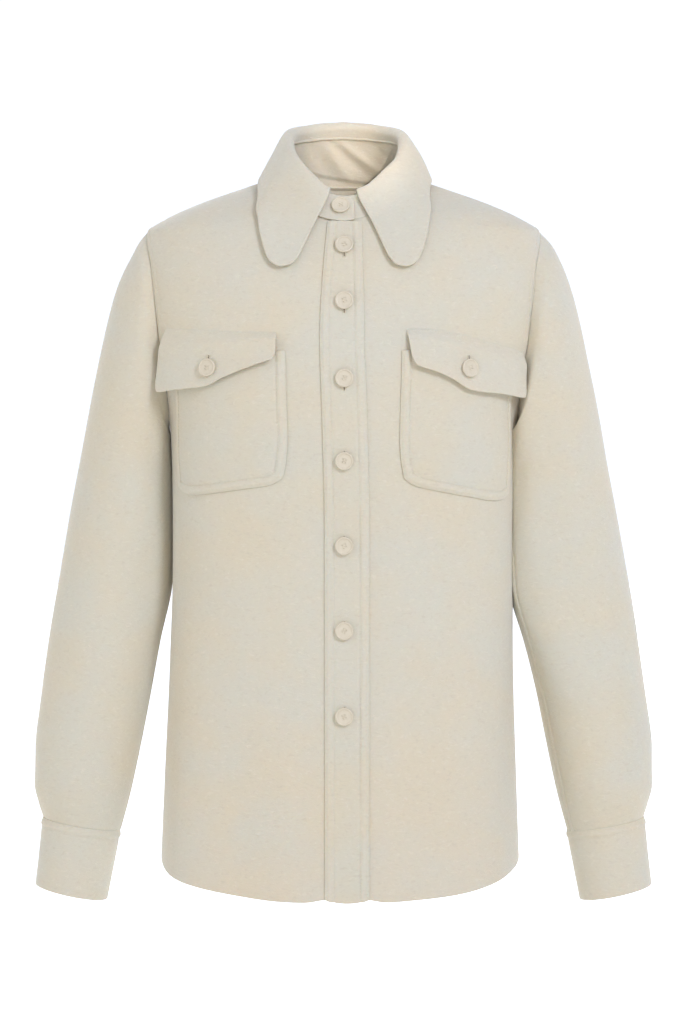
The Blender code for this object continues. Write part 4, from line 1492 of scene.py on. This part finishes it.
@dataclass(frozen=True)
class Button:
    """A turned four-hole button with a raised rim, sewn on with two bars of thread."""

    radius: float = 8.9
    thickness: float = 3.6
    rim: float = 2.0
    # How the rim rounds over, 1 for a half circle and less for a fuller one.
    rim_round: float = 0.8
    dish: float = 0.7
    # The dish's floor, as its share of the dish's radius and how deep it lies.
    dish_floor: tuple[tuple[float, float], ...] = ((0.75, 0.15), (0.93, 0.1))
    # The side under the rim, as how far it is drawn in and its share of the height.
    side: tuple[tuple[float, float], ...] = ((0.0, 0.7), (0.15, 0.45), (0.9, 0.15))
    hole_radius: float = 0.85
    hole_offset: float = 1.45
    hole_sides: int = 14
    steps: int = 56
    sharp_angle: float = 32.0
    thread: Stitch = Stitch(length=4.2, thickness=0.8, arch=0.9, rings=6)
    strands: int = 3
    # How far a bar's strands spread, as a share of the hole's radius, and how far they stand off the dish.
    strand_spread: float = 0.672
    strand_rise: float = 0.35

    def profile(self) -> list[tuple[float, float]]:
        """Draw the button's half outline, from the dish over the rim to the back."""
        edge = self.thickness - self.dish
        flat, half = self.radius - self.rim, self.rim / 2
        crown = [math.radians(a) for a in range(0, 181, 20)]
        floor = [(flat * share, edge - depth) for share, depth in self.dish_floor]
        over = [
            (flat + half - half * math.cos(a), edge + self.dish * math.sin(a) ** self.rim_round)
            for a in crown
        ]
        side = [(self.radius - inset, edge * share) for inset, share in self.side]
        return [*floor, *over, *side, (flat, 0.0)]

    def blank(self) -> Object:
        """Turn the button without its holes."""
        profile = self.profile()
        turn = 2 * np.pi * np.arange(self.steps) / self.steps
        points = [(r * math.cos(a) * MM, r * math.sin(a) * MM, z * MM) for r, z in profile for a in turn]
        number = np.arange(len(points)).reshape(len(profile), self.steps)
        ahead = np.roll(number, -1, axis=1)
        faces = np.stack([number[:-1], number[1:], ahead[1:], ahead[:-1]], axis=-1).reshape(-1, 4).tolist()
        faces += [number[0].tolist(), number[-1, ::-1].tolist()]
        return link("button_blank", face_mesh("button_blank", points, faces))

    def drill(self) -> Object:
        """Make the four pins that drill the holes."""
        turn = 2 * np.pi * np.arange(self.hole_sides) / self.hole_sides
        rim = [(self.hole_radius * math.cos(a), self.hole_radius * math.sin(a)) for a in turn]
        offsets = (-self.hole_offset, self.hole_offset)
        points, faces = [], []
        for x, y in ((x, y) for x in offsets for y in offsets):
            low = np.arange(self.hole_sides) + len(points)
            high = low + self.hole_sides
            for z in (-1.0, self.thickness + 1.0):
                points += [((x + u) * MM, (y + v) * MM, z * MM) for u, v in rim]
            faces += np.stack([low, np.roll(low, -1), np.roll(high, -1), high], axis=-1).tolist()
            faces += [low[::-1].tolist(), high.tolist()]
        return link("button_drill", face_mesh("button_drill", points, faces))

    def mesh(self, resin: Material, thread: Material) -> Mesh:
        """Drill the button and sew its thread, as one mesh for every button.

        Args:
            resin: The button's finish.
            thread: The thread's finish.

        Returns:
            The mesh, facing +Z with its back at the origin.
        """
        blank, drill = self.blank(), self.drill()
        cut = blank.modifiers.new("holes", "BOOLEAN")
        cut.operation, cut.object = "DIFFERENCE", drill
        drilled = bpy.data.meshes.new_from_object(blank.evaluated_get(bpy.context.evaluated_depsgraph_get()))
        for tool in (blank, drill):
            bpy.data.objects.remove(tool)
        spread = np.linspace(-self.strand_spread, self.strand_spread, self.strands) * self.hole_radius
        top = self.thickness - self.dish + self.strand_rise
        places = [(0.0, y + s, top) for y in (-self.hole_offset, self.hole_offset) for s in spread]
        along, outward = np.tile([1.0, 0.0, 0.0], (len(places), 1)), np.tile(UPWARD, (len(places), 1))
        points, quads = self.thread.sewn(np.array(places), along, outward)
        first = len(drilled.vertices)
        corners = [tuple(v.co) for v in drilled.vertices] + [tuple(p) for p in points * MM]
        faces = [tuple(f.vertices) for f in drilled.polygons] + [tuple(q) for q in (quads + first).tolist()]
        mesh = face_mesh("button_four_hole", corners, faces)
        mesh.materials.append(resin)
        mesh.materials.append(thread)
        second_finish(mesh, len(faces) - len(quads))
        mesh.shade_smooth()
        mesh.set_sharp_from_angle(angle=math.radians(self.sharp_angle))
        bpy.data.meshes.remove(drilled)
        return mesh

    def sew_on(self, node: str, mesh: Mesh, seat: Array, outward: Array, twist: float) -> Object:
        """Sew one button where its solid sits.

        Args:
            node: The solid's name.
            mesh: The button's mesh.
            seat: Where its back rests on the cloth.
            outward: The way the cloth faces there.
            twist: How far the button is turned about its middle, in degrees.

        Returns:
            The piece.
        """
        facing = Vector(outward).to_track_quat("Z", "Y").to_matrix().to_4x4()
        spin = Matrix.Rotation(math.radians(twist), 4, "Z")
        place = Matrix.Translation(Vector(seat + outward * LAY_GAP) * MM) @ facing @ spin
        piece = add_piece(f"{node}_sewn", mesh, [], place)
        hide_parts(node)
        return piece


@dataclass(frozen=True)
class Buttonhole:
    """A slit edged with close stitches, just longer than the button that passes it."""

    length: float = 18.6
    width: float = 3.4
    slit: float = 0.9
    slit_taper: float = 0.9
    slit_steps: int = 9
    pitch: float = 0.62
    proud: float = 0.25
    stitch: Stitch = Stitch(length=1.7, thickness=0.62, arch=0.35)

    def build(
        self, name: str, seats: list[tuple[Array, Array, float]], thread: Material, slit_painted_shade: Material
    ) -> Object:
        """Work several upright buttonholes as one piece.

        Args:
            name: The piece's name.
            seats: For each hole its button's seat, the way the cloth faces, and how far the hole's middle is
                above that seat.
            thread: The thread's finish.
            slit_painted_shade: The finish of the dark strip in each slit, painted shade for its depth.

        Returns:
            The piece.
        """
        steps = np.arange(-self.length / 2, self.length / 2 + 0.01, self.pitch)[:, None]
        half = np.linspace(-1, 1, self.slit_steps)[:, None]
        places, headings, facings, slit_shade_strips = [], [], [], []
        for seat, outward, above in seats:
            side = unit(np.cross(UPWARD, outward))
            up = np.cross(outward, side)
            middle = seat + up * above + outward * self.proud
            for way in (-1, 1):
                places.append(middle + up * steps + side * way * (self.width + self.slit) / 4)
                headings.append(np.tile(side, (len(steps), 1)))
                facings.append(np.tile(outward, (len(steps), 1)))
            # Each slit gets a flat dark strip of painted shade, standing for the shadow in the slit's depth.
            edge = side * self.slit / 2 * np.sqrt(1 - (self.slit_taper * half) ** 2)
            spine = middle + up * half * self.length / 2
            slit_shade_strips += [spine - edge, spine + edge]
        points, quads = self.stitch.sewn(*(np.concatenate(part) for part in (places, headings, facings)))
        left = len(points) + np.arange(self.slit_steps)
        right = left + self.slit_steps
        strip = np.stack([left[:-1], right[:-1], right[1:], left[1:]], axis=-1)
        strips = [strip + 2 * self.slit_steps * hole for hole in range(len(seats))]
        mesh = quad_mesh(name, np.concatenate([points, *slit_shade_strips]), np.concatenate([quads, *strips]))
        piece = add_piece(name, mesh, [thread, slit_painted_shade])
        second_finish(mesh, len(quads))
        return piece


NodeInput = bpy.types.NodeSocket | float | tuple[float, ...]


def add_node(
    tree: bpy.types.NodeTree, kind: str, inputs: dict[str | int, NodeInput], **settings: object
) -> bpy.types.Node:
    """Add a node with its settings and links.

    Args:
        tree: The material's or world's nodes.
        kind: The node's type.
        inputs: A value, or a socket to link from, for each named or numbered input.
        **settings: The node's own options.

    Returns:
        The new node.
    """
    node = tree.nodes.new(kind)
    for name, value in settings.items():
        setattr(node, name, value)
    for name, value in inputs.items():
        if isinstance(value, bpy.types.NodeSocket):
            tree.links.new(value, node.inputs[name])
        else:
            node.inputs[name].default_value = value
    return node


def new_tree(name: str) -> tuple[Material, bpy.types.NodeTree]:
    """Start a material with an empty node tree."""
    material = bpy.data.materials.new(name)
    material.use_nodes = True
    material.node_tree.nodes.clear()
    return material, material.node_tree


@dataclass(frozen=True)
class FeltedWool:
    """Boiled, felted and lightly brushed wool.

    No weave shows: the eye sees a dull cream with faint flecks where fibres have clumped, slow shifts
    between a cooler and a warmer cream, and a pale bloom where the nap is seen edge on. The hollows
    between the tufts are painted a darker cream: painted shade where the nap's bump lies lowest.
    """

    cool: str = "D8D3C1"
    warm: str = "DCD2BA"
    fleck: str = "E6DFCC"
    # The darker cream of the hollows between the tufts, which is painted shade rather than a colour of the
    # wool.
    hollow_painted_shade: str = "CEC4AF"
    cloud: float = 70.0
    tuft: float = 5.0
    # Clumped fibres are about 0.3 mm wide. They are drawn three times coarser, so that they show.
    fibre: float = 1.0
    # How much flatter than wide the tufts and fibres lie, brushed along the width.
    brushed: float = 2.1
    nap_height: float = 0.34
    nap_strength: float = 0.55
    roughness: float = 0.95
    ior: float = 1.5
    specular: float = 0.2
    sheen: float = 0.6
    sheen_tint: str = "FFFBF2"
    sheen_roughness: float = 0.45
    # How far light wanders within the felt before it comes out again, red the furthest.
    glow: float = 0.3
    glow_reach: float = 3.0
    glow_spread: Place = (1.0, 0.6, 0.35)

    def build(self) -> Material:
        """Make the material."""
        material, tree = new_tree("felted_wool_boiled_and_brushed")
        place = add_node(tree, "ShaderNodeTexCoord", {}).outputs["Object"]
        brushing = {"Vector": place, "Scale": (1.0, 1.0, self.brushed)}
        brushed = add_node(tree, "ShaderNodeMapping", brushing).outputs[0]
        noise = {}
        for name, vector, size, detail, roughness, distortion in (
            ("cloud", place, self.cloud, 2.0, 0.5, 0.0),
            ("tuft", brushed, self.tuft, 2.0, 0.55, 0.8),
            ("fibre", brushed, self.fibre, 3.0, 0.65, 1.2),
        ):
            grain = {"Detail": detail, "Roughness": roughness, "Distortion": distortion}
            grain |= {"Vector": vector, "Scale": 1 / (size * MM)}
            noise[name] = add_node(tree, "ShaderNodeTexNoise", grain).outputs[0]
        colour, share = linear(self.cool), {}
        for name, source, low, high, most, tint in (
            ("drift", "cloud", 0.35, 0.65, 1.0, self.warm),
            ("clump", "tuft", 0.56, 0.78, 0.55, self.fleck),
            # The hollows darken where the tufts' bump lies lowest: painted shade.
            ("hollow_shade", "tuft", 0.44, 0.24, 0.5, self.hollow_painted_shade),
        ):
            span = {"Value": noise[source], "From Min": low, "From Max": high, "To Max": most}
            share[name] = add_node(tree, "ShaderNodeMapRange", span).outputs[0]
            blend = {0: share[name], 6: colour, 7: linear(tint)}
            colour = add_node(tree, "ShaderNodeMix", blend, data_type="RGBA").outputs[2]
        pile = noise["fibre"]
        for source, weight in ((noise["tuft"], 0.9), (share["clump"], 1.6)):
            heap = {0: source, 1: weight, 2: pile}
            pile = add_node(tree, "ShaderNodeMath", heap, operation="MULTIPLY_ADD").outputs[0]
        nap = {"Height": pile, "Strength": self.nap_strength, "Distance": self.nap_height * MM}
        shader = add_node(
            tree,
            "ShaderNodeBsdfPrincipled",
            {
                "Base Color": colour,
                "Roughness": self.roughness,
                "IOR": self.ior,
                "Specular IOR Level": self.specular,
                "Sheen Weight": self.sheen,
                "Sheen Roughness": self.sheen_roughness,
                "Sheen Tint": linear(self.sheen_tint),
                "Subsurface Weight": self.glow,
                "Subsurface Radius": self.glow_spread,
                "Subsurface Scale": self.glow_reach * MM,
                "Normal": add_node(tree, "ShaderNodeBump", nap).outputs[0],
            },
        )
        add_node(tree, "ShaderNodeOutputMaterial", {"Surface": shader.outputs[0]})
        return material


@dataclass(frozen=True)
class PolyesterResin:
    """Cast polyester resin, turned and tumbled to a satin face with a faint cloud of pearl in it."""

    light: str = "DFD5BE"
    shade: str = "D3C7AE"
    cloud: float = 6.0
    # The face's roughness, and how much duller and glossier tumbling leaves it in places.
    roughness: float = 0.38
    duller: float = 0.08
    glossier: float = 0.06
    ior: float = 1.54

    def build(self) -> Material:
        """Make the material."""
        material, tree = new_tree("polyester_resin_turned_and_tumbled")
        place = add_node(tree, "ShaderNodeTexCoord", {}).outputs["Object"]
        pearl = {"Vector": place, "Scale": 1 / (self.cloud * MM), "Detail": 3.0, "Distortion": 1.0}
        cloud = add_node(tree, "ShaderNodeTexNoise", pearl).outputs[0]
        blend = {0: cloud, 6: linear(self.light), 7: linear(self.shade)}
        colour = add_node(tree, "ShaderNodeMix", blend, data_type="RGBA").outputs[2]
        span = {"To Min": self.roughness - self.glossier, "To Max": self.roughness + self.duller}
        wear = add_node(tree, "ShaderNodeMapRange", {"Value": cloud, **span}).outputs[0]
        satin = {"Base Color": colour, "Roughness": wear, "IOR": self.ior}
        shader = add_node(tree, "ShaderNodeBsdfPrincipled", satin)
        add_node(tree, "ShaderNodeOutputMaterial", {"Surface": shader.outputs[0]})
        return material


@dataclass(frozen=True)
class SpunThread:
    """Spun polyester sewing thread, dyed to the cloth: a soft twist with a slight lustre."""

    name: str = "sewing_thread_spun_polyester"
    light: str = "E3DAC4"
    shade: str = "D3C8AE"
    # The plies take a turn about each 0.8 mm. A unit of the wave takes six turns, which draws its bands
    # about twice as coarse, so that they show.
    twist: float = 0.8
    twists: float = 6.0
    roughness: float = 0.7
    ior: float = 1.53
    sheen: float = 0.2

    def build(self) -> Material:
        """Make the material."""
        material, tree = new_tree(self.name)
        place = add_node(tree, "ShaderNodeTexCoord", {}).outputs["Object"]
        scale = 1 / (self.twist * MM) / self.twists
        plies = {"Vector": place, "Scale": scale, "Distortion": 2.0, "Detail": 1.0}
        ply = add_node(tree, "ShaderNodeTexWave", plies, bands_direction="DIAGONAL").outputs[1]
        blend = {0: ply, 6: linear(self.shade), 7: linear(self.light)}
        colour = add_node(tree, "ShaderNodeMix", blend, data_type="RGBA").outputs[2]
        lustre = {"Roughness": self.roughness, "IOR": self.ior, "Sheen Weight": self.sheen}
        shader = add_node(tree, "ShaderNodeBsdfPrincipled", {"Base Color": colour, **lustre})
        add_node(tree, "ShaderNodeOutputMaterial", {"Surface": shader.outputs[0]})
        return material


SHIRT_MIDDLE = (-2.0, 0.0, -332.0)


@dataclass(frozen=True)
class Lamp:
    """A studio light: a square soft box, or a narrow soft-edged beam where it has a cone."""

    name: str
    place: Place
    power: float
    colour: str
    size: float
    target: Place = SHIRT_MIDDLE
    cone: float = 0.0

    def hang(self) -> None:
        """Hang the lamp and turn it to its target."""
        data = bpy.data.lights.new(self.name, "SPOT" if self.cone else "AREA")
        if self.cone:
            data.spot_size = math.radians(self.cone)
            data.spot_blend = 1.0
            data.shadow_soft_size = self.size * MM
        else:
            data.shape = "SQUARE"
            data.size = self.size * MM
        data.energy = self.power
        data.color = linear(self.colour)[:3]
        light = link(self.name, data)
        light.location = Vector(self.place) * MM
        light.rotation_euler = (Vector(self.target) - Vector(self.place)).to_track_quat("-Z", "Y").to_euler()


@dataclass(frozen=True)
class Studio:
    """A white floor, wall and dome, four soft boxes, a throat lamp, and a long lens at chest height."""

    floor_height: float = -900.0
    floor_radius: float = 30000.0
    floor_sides: int = 96
    floor_paint: str = "F6F4EE"
    # Where the floor starts to glow with the wall's light and where it glows in full, front to back.
    glow_start: float = -200.0
    glow_end: float = 250.0
    floor_glow: float = 0.75
    wall_distance: float = 9000.0
    wall_half_width: float = 16000.0
    wall_top: float = 14000.0
    wall_light: str = "F0F5FF"
    wall_glow: float = 1.18
    dome_light: str = "F6F7FC"
    dome_glow: float = 0.5
    distance: float = 3600.0
    elevation: float = 2.0
    seen_height: float = 1024.0
    sensor: float = 36.0
    far_clip: float = 200.0
    lamps: tuple[Lamp, ...] = (
        Lamp("key_soft_box", (1500.0, -2600.0, 1300.0), 47.2, "E4EAFF", 800.0),
        Lamp("front_warm_fill", (-300.0, -3300.0, -600.0), 19.4, "FFF9F6", 1500.0),
        Lamp("side_fill", (-2600.0, -1100.0, 0.0), 8.7, "FFFDFE", 1500.0),
        Lamp("high_cool_fill", (-300.0, -1200.0, 2600.0), 7.4, "DBE6FF", 1600.0),
        # The collar keeps the soft boxes' light from the neck, so a narrow beam reaches in.
        Lamp("throat_lamp", (600.0, -3500.0, 260.0), 232.0, "FFF2EC", 20.0, (6.0, 46.0, 22.0), 2.3),
    )

    def camera(self) -> None:
        """Set the camera at the photograph's place."""
        data = bpy.data.cameras.new("camera")
        data.sensor_width = self.sensor
        data.lens = self.sensor * self.distance / self.seen_height
        data.clip_end = self.far_clip
        camera = link("camera", data)
        tilt = math.radians(self.elevation)
        back = Vector((0.0, -math.cos(tilt), math.sin(tilt)))
        camera.location = (Vector(SHIRT_MIDDLE) + back * self.distance) * MM
        camera.rotation_euler = (-back).to_track_quat("-Z", "Y").to_euler()
        bpy.context.scene.camera = camera

    def floor(self) -> None:
        """Lay a round pale floor under the shirt, which glows behind it with the wall's light."""
        turn = 2 * np.pi * np.arange(self.floor_sides) / self.floor_sides
        radius, height = self.floor_radius * MM, self.floor_height * MM
        ring = [(radius * math.cos(a), radius * math.sin(a), height) for a in turn]
        mesh = face_mesh("floor", ring, [list(range(self.floor_sides))])
        material, tree = new_tree("painted_white_floor")
        place = add_node(tree, "ShaderNodeTexCoord", {}).outputs["Object"]
        back = add_node(tree, "ShaderNodeSeparateXYZ", {0: place}).outputs[1]
        span = {"Value": back, "From Min": self.glow_start * MM, "From Max": self.glow_end * MM}
        glow = add_node(tree, "ShaderNodeMapRange", span).outputs[0]
        blend = {0: glow, 6: linear("000000"), 7: linear(self.wall_light)}
        lit = add_node(tree, "ShaderNodeMix", blend, data_type="RGBA").outputs[2]
        paint = {"Base Color": linear(self.floor_paint), "Roughness": 0.9}
        light = {"Emission Color": lit, "Emission Strength": self.floor_glow}
        shader = add_node(tree, "ShaderNodeBsdfPrincipled", {**paint, **light})
        add_node(tree, "ShaderNodeOutputMaterial", {"Surface": shader.outputs[0]})
        mesh.materials.append(material)
        link("floor", mesh)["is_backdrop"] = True

    def backdrop(self) -> None:
        """Stand a lit white wall well behind the shirt."""
        half, back = self.wall_half_width * MM, self.wall_distance * MM
        low, top = self.floor_height * MM, self.wall_top * MM
        corners = [(-half, back, low), (half, back, low), (half, back, top), (-half, back, top)]
        mesh = face_mesh("backdrop", corners, [[0, 1, 2, 3]])
        material, tree = new_tree("lit_white_backdrop")
        light = {"Color": linear(self.wall_light), "Strength": self.wall_glow}
        glow = add_node(tree, "ShaderNodeEmission", light)
        add_node(tree, "ShaderNodeOutputMaterial", {"Surface": glow.outputs[0]})
        mesh.materials.append(material)
        link("backdrop", mesh)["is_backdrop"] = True

    def dome(self) -> None:
        """Light the room evenly from all round."""
        world = bpy.data.worlds.new("white_dome")
        bpy.context.scene.world = world
        world.use_nodes = True
        world.node_tree.nodes.clear()
        light = {"Color": linear(self.dome_light), "Strength": self.dome_glow}
        sky = add_node(world.node_tree, "ShaderNodeBackground", light)
        add_node(world.node_tree, "ShaderNodeOutputWorld", {"Surface": sky.outputs[0]})

    def build(self) -> None:
        """Set up the camera, floor, wall, dome and lamps."""
        bpy.context.scene.view_settings.view_transform = "Standard"
        self.camera()
        self.floor()
        self.backdrop()
        self.dome()
        for lamp in self.lamps:
            lamp.hang()


@dataclass(frozen=True)
class ButtonPlan:
    """Where the buttons sit on the shirt."""

    placket_heights: tuple[float, ...] = (-70.5, -124, -198.5, -278, -360.5, -443.5, -527)
    placket_x: float = 0.6
    collar_turn: float = 357.5
    collar_share: float = 0.5
    flap_left: tuple[float, float] = (0.48, 0.62)
    flap_right: tuple[float, float] = (0.555, 0.686)
    # How far each buttonhole's middle lies above its button's, or below it where negative.
    placket_holes: tuple[float, ...] = (-2.6, -2.6, -2.6, 0.0, 0.0, 0.0, 0.0)
    flap_holes: tuple[float, ...] = (3.0, 3.0)
    cuff_along: float = 382.0
    cuff_station: float = 1.9
    # How far a button may be turned on its thread either way, in degrees.
    twist: float = 35.0
    twist_seed: int = 7


# What differs between the two sides of the worn shirt, by piece.
SIDE_SIZES: dict[Side, dict[str, dict[str, object]]] = {
    Side.LEFT: {
        "sleeve": {"seam_turn": 158.0, "square": 4.6, "hug": 7.5, "waviness": Waviness(0.6, 95, 21)},
        "pocket": {"bottom_outer": -327.0},
        "flap": {
            "inner_x": 60.5,
            "inner_run": 5.5,
            "corner_lift": 3.5,
            "shape": Table("""
                share top bottom
                0 -149 -186
                0.13 -148.6 -189.8
                0.22 -148.8 -193
                0.3 -149.8 -197
                0.37 -151.4 -201.4
                0.43 -153 -206.4
                0.48 -154.6 -209.4
                0.55 -157 -210.4
                0.65 -160.6 -211.2
                0.8 -165.5 -213
                1 -171.5 -216
            """),
        },
    },
    Side.RIGHT: {
        "sleeve": {"seam_turn": 188.0, "head_trim": 3.2, "waviness": Waviness(0.6, 95, 22)},
        "pocket": {"bottom_outer": -319.0},
        "flap": {
            "inner_x": 65.0,
            "outer_run": 3.0,
            "corner_lift": 9.0,
            "shape": Table("""
                share top bottom
                0 -152.5 -181
                0.1 -152.4 -183.2
                0.26 -152 -189.4
                0.36 -151.6 -194
                0.46 -151.2 -199.2
                0.52 -151 -203.4
                0.56 -150.8 -205.2
                0.65 -150.2 -206.2
                0.8 -149.2 -207.4
                1 -148 -209.5
            """),
        },
    },
}


def side_pieces(side: Side, torso: TorsoForm) -> list[ClothPiece]:
    """Cut the sleeve, cuff, pocket and flap of one side.

    Args:
        side: The side.
        torso: The body's form.

    Returns:
        The pieces, not yet built.
    """
    word, sizes = side.name.lower(), SIDE_SIZES[side]
    front, body = f"front_{word}", {"torso": torso, "side": side}
    sleeve = {"node": f"sleeve_{word}", "cut": Cut(400, 600, 0.8), "rests_on": (front, "back")}
    cuff = {"node": f"cuff_{word}", "cut": Cut(265, 78), "rests_on": (f"sleeve_{word}",)}
    pocket = {"node": f"pocket_{word}", "cut": Cut(120, 136, 0.95, Held.LAID), "rests_on": (front,)}
    flap = {"node": f"pocket_flap_{word}", "cut": Cut(125, 66, 0.7, Held.LAID), "rests_on": (front,)}
    return [
        Sleeve(**sleeve, **body, **sizes["sleeve"]),
        Cuff(**cuff, side=side, wall=DOUBLE_CLOTH),
        PatchPocket(**pocket, **body, **sizes["pocket"]),
        PocketFlap(**flap, **body, **sizes["flap"]),
    ]


def cut_cloth(torso: TorsoForm, neck: NeckForm) -> dict[str, ClothPiece]:
    """Cut every cloth piece.

    Args:
        torso: The body's form.
        neck: The neck's form.

    Returns:
        The pieces by their solids' names, not yet built.
    """
    fronts = ("front_left", "front_right")
    double = {"wall": DOUBLE_CLOTH, "neck": neck}
    pieces: list[ClothPiece] = [
        FrontPanel(node=fronts[0], cut=Cut(245, 730, 0.78), torso=torso, side=Side.LEFT, edge_x=-10.4),
        FrontPanel(node=fronts[1], cut=Cut(225, 730, 0.78), torso=torso, side=Side.RIGHT, edge_x=-11.2),
        BackPanel(node="back", cut=Cut(470, 735, 0.84), torso=torso),
        Placket(node="placket", cut=Cut(45, 670, 0.97, Held.LAID), torso=torso, rests_on=fronts),
        CollarStand(node="collar_stand", cut=Cut(420, 44, 0.75, Held.FOLDED), rests_on=("back",), **double),
        Collar(node="collar", cut=Cut(450, 110, 0.7, Held.FOLDED), rests_on=("collar_stand",), **double),
        *side_pieces(Side.LEFT, torso),
        *side_pieces(Side.RIGHT, torso),
    ]
    return {piece.node: piece for piece in pieces}


def sew(pieces: dict[str, ClothPiece], thread: Material) -> Iterator[Object]:
    """Sew the visible rows of stitches.

    Args:
        pieces: The built cloth pieces by their solids' names.
        thread: The thread's finish.

    Returns:
        Each group of rows as it is sewn.
    """
    groups = {
        "stitching_armholes": ("front_left", "front_right", "back"),
        "stitching_placket": ("placket",),
        "stitching_pockets": ("pocket_left", "pocket_right"),
        "stitching_flaps": ("pocket_flap_left", "pocket_flap_right"),
        "stitching_cuffs": ("cuff_left", "cuff_right"),
    }
    sewing = Sewing()
    for name, nodes in groups.items():
        yield sewing.build(name, [run for node in nodes for run in pieces[node].stitch_runs()], thread)


def button_up(
    pieces: dict[str, ClothPiece], resin: Material, thread: Material, slit_painted_shade: Material
) -> Iterator[Object]:
    """Sew on the buttons and work their buttonholes.

    Args:
        pieces: The built cloth pieces by their solids' names.
        resin: The buttons' finish.
        thread: The thread's finish.
        slit_painted_shade: The finish of the dark strip in each buttonhole, painted shade for its depth.

    Returns:
        Each button, and then each group of buttonholes, as it is made.
    """
    plan, button = ButtonPlan(), Button()
    mesh = button.mesh(resin, thread)
    collar = {"button_collar": pieces["collar_stand"].seat(plan.collar_turn, plan.collar_share)}
    placket = {
        f"button_placket_{number}": pieces["placket"].seat(plan.placket_x, height)
        for number, height in enumerate(plan.placket_heights, start=1)
    }
    flaps = {
        f"button_flap_{word}": pieces[f"pocket_flap_{word}"].seat(*place)
        for word, place in (("left", plan.flap_left), ("right", plan.flap_right))
    }
    cuffs = {
        f"button_cuff_{word}": pieces[f"cuff_{word}"].seat(plan.cuff_along, plan.cuff_station)
        for word in ("left", "right")
    }
    draw = np.random.default_rng(plan.twist_seed)
    for node, (seat, outward) in (collar | placket | flaps | cuffs).items():
        yield button.sew_on(node, mesh, seat, outward, draw.uniform(-plan.twist, plan.twist))
    hole = Buttonhole()
    for name, group, above in (
        ("buttonholes_placket", placket, plan.placket_holes),
        ("buttonholes_flaps", flaps, plan.flap_holes),
    ):
        seats = [(*seat, rise) for seat, rise in zip(group.values(), above)]
        yield hole.build(name, seats, thread, slit_painted_shade)


def write_sizes() -> None:
    """Gather the solids' box and the dressed shirt's box; nothing is written."""
    boxes = {"cad": CAD_BOX, "visual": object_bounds()}
    {name: [list(corner) for corner in box] for name, box in boxes.items()}


def main() -> None:
    """Build the shirt piece by piece and light it."""
    logging.basicConfig(level=logging.INFO, format="%(message)s")
    torso = TorsoForm()
    wool = FeltedWool().build()
    resin = PolyesterResin().build()
    thread = SpunThread().build()
    # The buttonholes' slits get a dark strip of painted shade, made with the thread's finish in dark browns.
    shade = SpunThread(name="buttonhole_slit_painted_shade", light="7A6850", shade="5C4C38", roughness=0.95).build()
    pieces = cut_cloth(torso, NeckForm(torso))
    cloth = (piece.build(wool) for piece in pieces.values())
    for shape in chain(cloth, sew(pieces, thread), button_up(pieces, resin, thread, shade)):
        log.info("%s: %d faces", shape.name, len(shape.data.polygons))
    Studio().build()
    write_sizes()


if __name__ == "__main__":
    main()
